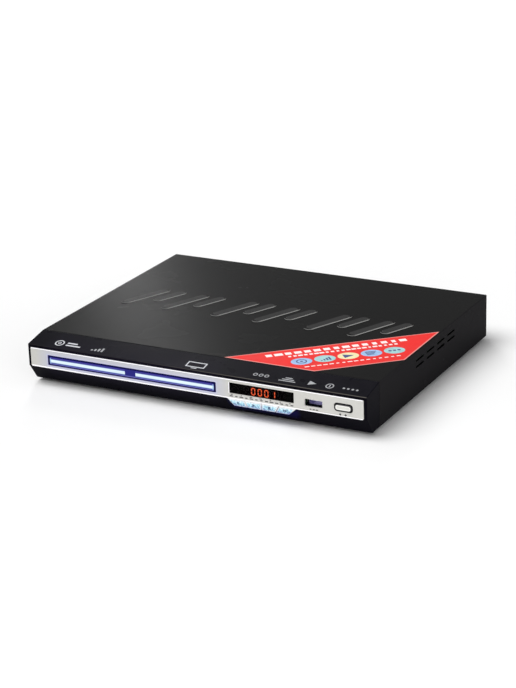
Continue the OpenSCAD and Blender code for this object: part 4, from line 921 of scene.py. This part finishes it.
def key_middle(i, name):
    """Pale inlay of one key."""
    inset, face = 1.35, -0.3
    z0, z1 = KEY_ROW["z0"] + 1.3, KEY_ROW["z1"] - 1.5
    outline = [at(key_edge(i, z0) + inset, face, z0), at(key_edge(i + 1, z0) - inset, face, z0),
               at(key_edge(i + 1, z1) - inset, face, z1), at(key_edge(i, z1) + inset, face, z1)]
    bm = bmesh.new()
    plate(bm, outline, Vector((0, -0.00012, 0)))
    piece_from(name + "_inlay", bm, KEY_MIDDLE, name, "key_blue")


def key_symbol(i, name):
    """Usual sign of one key, printed on its inlay."""
    bm = bmesh.new()
    mid_z = (KEY_ROW["z0"] + KEY_ROW["z1"]) / 2 - 0.1
    mid_x = (key_edge(i, mid_z) + key_edge(i + 1, mid_z)) / 2
    s = 1.5
    signs = {
        "open_key": [[(-s, -0.3), (s, -0.3), (0, s)], bar_points(-s, -1.2, s, -0.7)],
        "play_key": [[(-1.2, -s), (s + 0.2, 0), (-1.2, s)]],
        "stop_key": [bar_points(-1.3, -1.3, 1.3, 1.3)],
        "skip_key": [[(-1.9, -s), (0, 0), (-1.9, s)], [(0, -s), (1.7, 0), (0, s)],
                     bar_points(1.8, -s, 2.4, s)]}
    for shape in signs[name]:
        outline = [at(mid_x + x, LABEL_Y, mid_z + z) for x, z in shape]
        plate(bm, outline, Vector((0, -PRINT_RISE, 0)))
    piece_from(name + "_sign", bm, DARK_PRINT, name, "key_blue")


painted_plate_highlights()
painted_window_highlight()
display_figures()
for number, key in enumerate(KEYS):
    key_middle(number, key)
    key_symbol(number, key)

MARKS = mark_row_tree()
ROW_THICK = 0.00006                 # thickness of the printed bars, m


def printed_row(name, slot_name, film, count, step, origin, size, lengths, seed, turn=0.0):
    """A row of printed bars on the case: `size` and `step` in metres, `lengths` the shortest
    and longest share of a bar."""
    grown(name, MARKS, {
        "Count": count, "Step": step, "Origin": origin, "Size": size, "Shortest": lengths[0],
        "Longest": lengths[1], "Turn": turn, "Seed": seed, "Finish": film}, "case", slot_name)


for name, count, pitch, x, height, wide, tall, lengths, seed in (
        ("key_labels", 13, 0.0052, 43, 19.2, 0.0040, 0.0010, (0.5, 1.0), 4),
        ("key_label_notes", 7, 0.0100, 43.4, 20.8, 0.0036, 0.0007, (0.3, 0.8), 9),
        ("port_labels", 3, 0.0032, 124.2, 18.9, 0.0026, 0.0010, (0.6, 1.0), 2)):
    printed_row(name, "silver_paint", LABEL_PRINT, count, (pitch, 0, 0), at(x, LABEL_Y, height),
                (wide, ROW_THICK, tall), lengths, seed)


def power_dots():
    """Two small marks under the power key."""
    height, radius, depth = 18.5, 1.05, -0.4
    bm = bmesh.new()
    for x in (153.8, 159.2):
        outline = [at(px, depth, pz) for px, pz in circle_points(x, height, radius, 14)]
        plate(bm, outline, Vector((0, -PRINT_RISE, 0)))
    piece_from("power_key_marks", bm, LABEL_PRINT, "case", "silver_paint")


power_dots()


def strip_signs():
    """Signs printed on the sloped strip, white or grey: disc, sound, screen and others."""
    white, grey = bmesh.new(), bmesh.new()
    foot, face = 0.03, 0.07
    out = on_strip(0, 0, face) - on_strip(0, 0, foot)

    def laid(x, up):
        return on_strip(x, up, foot)

    def fill(bm, shape):
        plate(bm, [laid(x, up) for x, up in shape], out)

    def ring(bm, x, up, radius, width):
        ring_plates(bm, laid, x, up, radius, width, out)

    # disc with a spindle hole, and bars beside it
    ring(white, -149, 9.5, 4.9, 1.2)
    ring(white, -149, 9.5, 1.8, 0.8)
    fill(white, bar_points(-141, 6.4, -125, 8.4))
    fill(white, bar_points(-141, 10.4, -130, 12.4))
    # rising columns
    for i, tall in enumerate((2.0, 3.4, 4.8, 6.2)):
        fill(grey, bar_points(-112 + i * 3.6, 5.4, -110 + i * 3.6, 5.4 + tall))
    # screen
    for shape in (bar_points(-8, 4.6, 12, 5.8), bar_points(-8, 12.2, 12, 13.4),
                  bar_points(-8, 5.8, -6.8, 12.2), bar_points(10.8, 5.8, 12, 12.2),
                  bar_points(-1, 2.6, 5, 3.6)):
        fill(white, shape)
    # discs, layers, arrow, clock and dots
    for i in range(3):
        ring(grey, 64 + i * 5.8, 9, 2.3, 0.9)
    for x0, x1, up in ((89, 106, 5.4), (91.5, 103.5, 8), (94, 101, 10.6)):
        fill(grey, bar_points(x0, up, x1, up + 1.2))
    fill(grey, [(118.5, 5.6), (126, 9), (118.5, 12.4)])
    ring(grey, 139.5, 9, 4.0, 1.0)
    fill(grey, bar_points(139.0, 7, 140.0, 10.9))
    for i in range(4):
        fill(grey, circle_points(153.5 + i * 4.4, 9, 1.2, 14))
    piece_from("strip_signs", white, WHITE_PRINT, "case", "front_black")
    piece_from("strip_small_signs", grey, GREY_PRINT, "case", "front_black")


strip_signs()


# ------------------------------------------------------------------ sticker print

def sticker_print():
    """Rows of plain blocks and five round tiles with simple signs, along the slanted sticker."""
    first, last = STICKER[0], STICKER[3]
    along = (last - first).normalized()
    across = Vector((along.y, -along.x, 0))
    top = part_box("promo_sticker")[1].z
    lift = Vector((0, 0, 0.00005))

    def laid(u, v):
        """u mm along the sticker's long edge, v mm in from it."""
        return Vector((*(first + along * (u / 1000) + across * (v / 1000)).xy, top))

    for name, count, u, v, step, length, tall, seed in (
            ("headline", 15, 40, 10.5, 9.4, 8.2, 6.0, 5),
            ("under_line", 21, 58, 18.6, 5.2, 4.6, 3.2, 8),
            ("tile_captions", 16, 66, 49.5, 5.9, 4.6, 1.9, 3)):
        printed_row("sticker_" + name, "sticker_red", STICKER_WHITE, count, along * (step / 1000),
                    laid(u, v) + lift * 0.6, (length / 1000, tall / 1000, ROW_THICK),
                    (0.45, 1.0), seed, math.atan2(along.y, along.x))

    tiles = {STICKER_BLUE: bmesh.new(), STICKER_CREAM: bmesh.new(), STICKER_TEAL: bmesh.new()}
    signs = bmesh.new()
    order = (STICKER_BLUE, STICKER_TEAL, STICKER_CREAM, STICKER_BLUE, STICKER_TEAL)
    first_tile, tile_row, tile_pitch = 65, 34.5, 22.6
    tile_radius, stretch = 8.6, 1.18
    for i, film in enumerate(order):
        u, v = first_tile + i * tile_pitch, tile_row

        def sign(shape):
            plate(signs, [laid(u + x, v + y) + lift for x, y in shape], lift)

        plate(tiles[film], [laid(u + x * stretch, v + y)
                            for x, y in circle_points(0, 0, tile_radius, 36)], lift)
        if i == 0:
            ring_plates(signs, lambda x, y: laid(u + x, v + y) + lift, 0, 0, 5.2, 1.3, lift)
            sign(circle_points(0, 0, 1.5, 16))
        elif i == 1:
            for k in range(4):
                sign(bar_points(-5 + k * 2.8, 3.4 - k * 2.2, -3.2 + k * 2.8, 4.6))
        elif i == 2:
            sign([(-4.6, 4.6), (5.4, 0), (-4.6, -4.6)])
        elif i == 3:
            for k in range(3):
                sign(bar_points(-5.4, -4.4 + k * 3.2, 5.4 - k * 1.8, -2.6 + k * 3.2))
        else:
            for k in range(3):
                sign(circle_points(-4.4 + k * 4.4, 0, 1.7, 16))
    for film, bm in tiles.items():
        piece_from("sticker_tiles_" + film.name, bm, film, "case", "sticker_red")
    piece_from("sticker_signs", signs, STICKER_NAVY, "case", "sticker_red")


sticker_print()


# ------------------------------------------------------------------ back

REAR_Y = 288.9                      # back of the rear panel from the face, mm
RED, WHITE, DARK = (196, 44, 38), (216, 216, 214), (40, 44, 50)
ORANGE, YELLOW, GREEN, BLUE = (206, 116, 32), (224, 190, 40), (38, 128, 66), (40, 76, 178)
COLLARS = collar_row_tree()
for row, height, colours in (("lower", 17.6, (WHITE, RED, WHITE, RED, DARK)),
                             ("upper", 31.0, (ORANGE, YELLOW, GREEN, BLUE, RED))):
    grown(row + "_jack_collars", COLLARS, {
        "Count": 5, "Pitch": 0.014, "Origin": at(67, REAR_Y + 0.3, height), "Radius": 0.0055,
        "Width": 0.0018, "Depth": 0.0009,
        "Finish": collar_colours(row + "_collar_plastic", colours)}, "case", "jack_housing")

for name, count, step, x, height, size, lengths, seed in (
        ("jack_labels", 5, (0.014, 0, 0), 67, 39.2, (0.009, ROW_THICK, 0.0011), (0.6, 1.0), 3),
        ("jack_group_lines", 2, (0, 0, 0.0274), 95, 10.2, (0.072, ROW_THICK, 0.0004),
         (1.0, 1.0), 1)):
    printed_row(name, "black_sheet", WHITE_PRINT, count, step, at(x, REAR_Y + 0.03, height), size,
                lengths, seed)


# ------------------------------------------------------------------ studio

def studio():
    """Pale floor, soft sky, a broad key light, three panels behind and one before the object."""
    floor_mesh = bpy.data.meshes.new("studio_floor")
    reach = 9
    corners = [(x, y, 0) for x, y in bar_points(-reach, -reach, reach, reach)]
    floor_mesh.from_pydata(corners, [], [(0, 1, 2, 3)])
    floor = bpy.data.objects.new("studio_floor", floor_mesh)
    bpy.context.scene.collection.objects.link(floor)
    paint(floor, finish("floor_paper", (248, 248, 248), 0.9, 0.004, 0.3, 0.002, 0.02,
                        Specular_IOR_Level=0.0))

    world = bpy.data.worlds.new("studio_sky")
    bpy.context.scene.world = world
    world.use_nodes = True
    tree = world.node_tree
    tree.nodes.clear()
    out = tree.nodes.new("ShaderNodeOutputWorld")
    path = tree.nodes.new("ShaderNodeLightPath").outputs
    seen = maths(tree, "MAXIMUM", path["Is Camera Ray"],
                 maths(tree, "MAXIMUM", path["Is Glossy Ray"], path["Is Transmission Ray"]))
    level = maths(tree, "MULTIPLY_ADD", seen, 1.0 - SKY_LEVEL, SKY_LEVEL)
    sky = add(tree, "ShaderNodeBackground", {"Color": linear(253, 253, 253), "Strength": level})
    tree.links.new(sky.outputs[0], out.inputs["Surface"])

    def aimed(obj, way):
        obj.rotation_euler = way.to_track_quat("-Z", "Y").to_euler()
        bpy.context.scene.collection.objects.link(obj)

    key = bpy.data.lights.new("key_light", "SUN")
    key.energy = 2.45
    key.angle = math.radians(48)
    aimed(bpy.data.objects.new("key_light", key), Vector((0.36, 0.30, -0.88)).normalized())

    def panel_light(name, spot, out_way, distance, width, height, energy, lean=0.0):
        """A soft rectangle that faces a spot on the object, leaning to the right."""
        data = bpy.data.lights.new(name, "AREA")
        data.shape = "RECTANGLE"
        data.size, data.size_y = width, height
        data.energy = energy
        obj = bpy.data.objects.new(name, data)
        way = Vector(out_way).normalized()
        obj.location = spot + way * distance
        obj.visible_camera = False
        aimed(obj, -way)
        obj.rotation_euler.rotate_axis("Z", math.radians(lean))

    panel_light("strip_light", at(-126, 150, 44), (-0.487, 0.803, 0.342), 2.2, 0.07, 1.3, 5.9, 15)
    panel_light("wide_light", at(-80, 150, 44), (-0.47, 0.81, 0.342), 2.2, 0.7, 1.3, 0.9, 15)
    panel_light("slope_light", at(-150, 12, 42), (-0.46, 0.69, 0.56), 2.2, 0.18, 0.3, 3.8)
    panel_light("front_fill", at(100, 0, 20), (0.66, -0.69, 0.30), 0.8, 0.4, 0.4, 1.9)


def camera():
    """Camera at the right front, a little above, with a slight roll."""
    turn, lift, roll = math.radians(28.098), math.radians(20.111), math.radians(-1.810)
    aim, away = at(-7.805, 150, 11.875), 2.01006
    ahead = Vector((-math.sin(turn) * math.cos(lift), math.cos(turn) * math.cos(lift),
                    -math.sin(lift)))
    right = Vector((math.cos(turn), math.sin(turn), 0))
    up = right.cross(ahead)
    rolled_right = right * math.cos(roll) + up * math.sin(roll)
    rolled_up = up * math.cos(roll) - right * math.sin(roll)
    where = aim - ahead * away
    data = bpy.data.cameras.new("front_camera")
    data.sensor_fit = "AUTO"
    data.sensor_width = 36
    data.lens = 105.62
    data.clip_end = 50
    obj = bpy.data.objects.new("front_camera", data)
    pose = Matrix.Identity(4)
    for column, axis in enumerate((rolled_right, rolled_up, -ahead, where)):
        for row in range(3):
            pose[row][column] = axis[row]
    obj.matrix_world = pose
    bpy.context.scene.collection.objects.link(obj)
    bpy.context.scene.camera = obj


studio()
camera()
bpy.context.scene.view_settings.view_transform = "Standard"
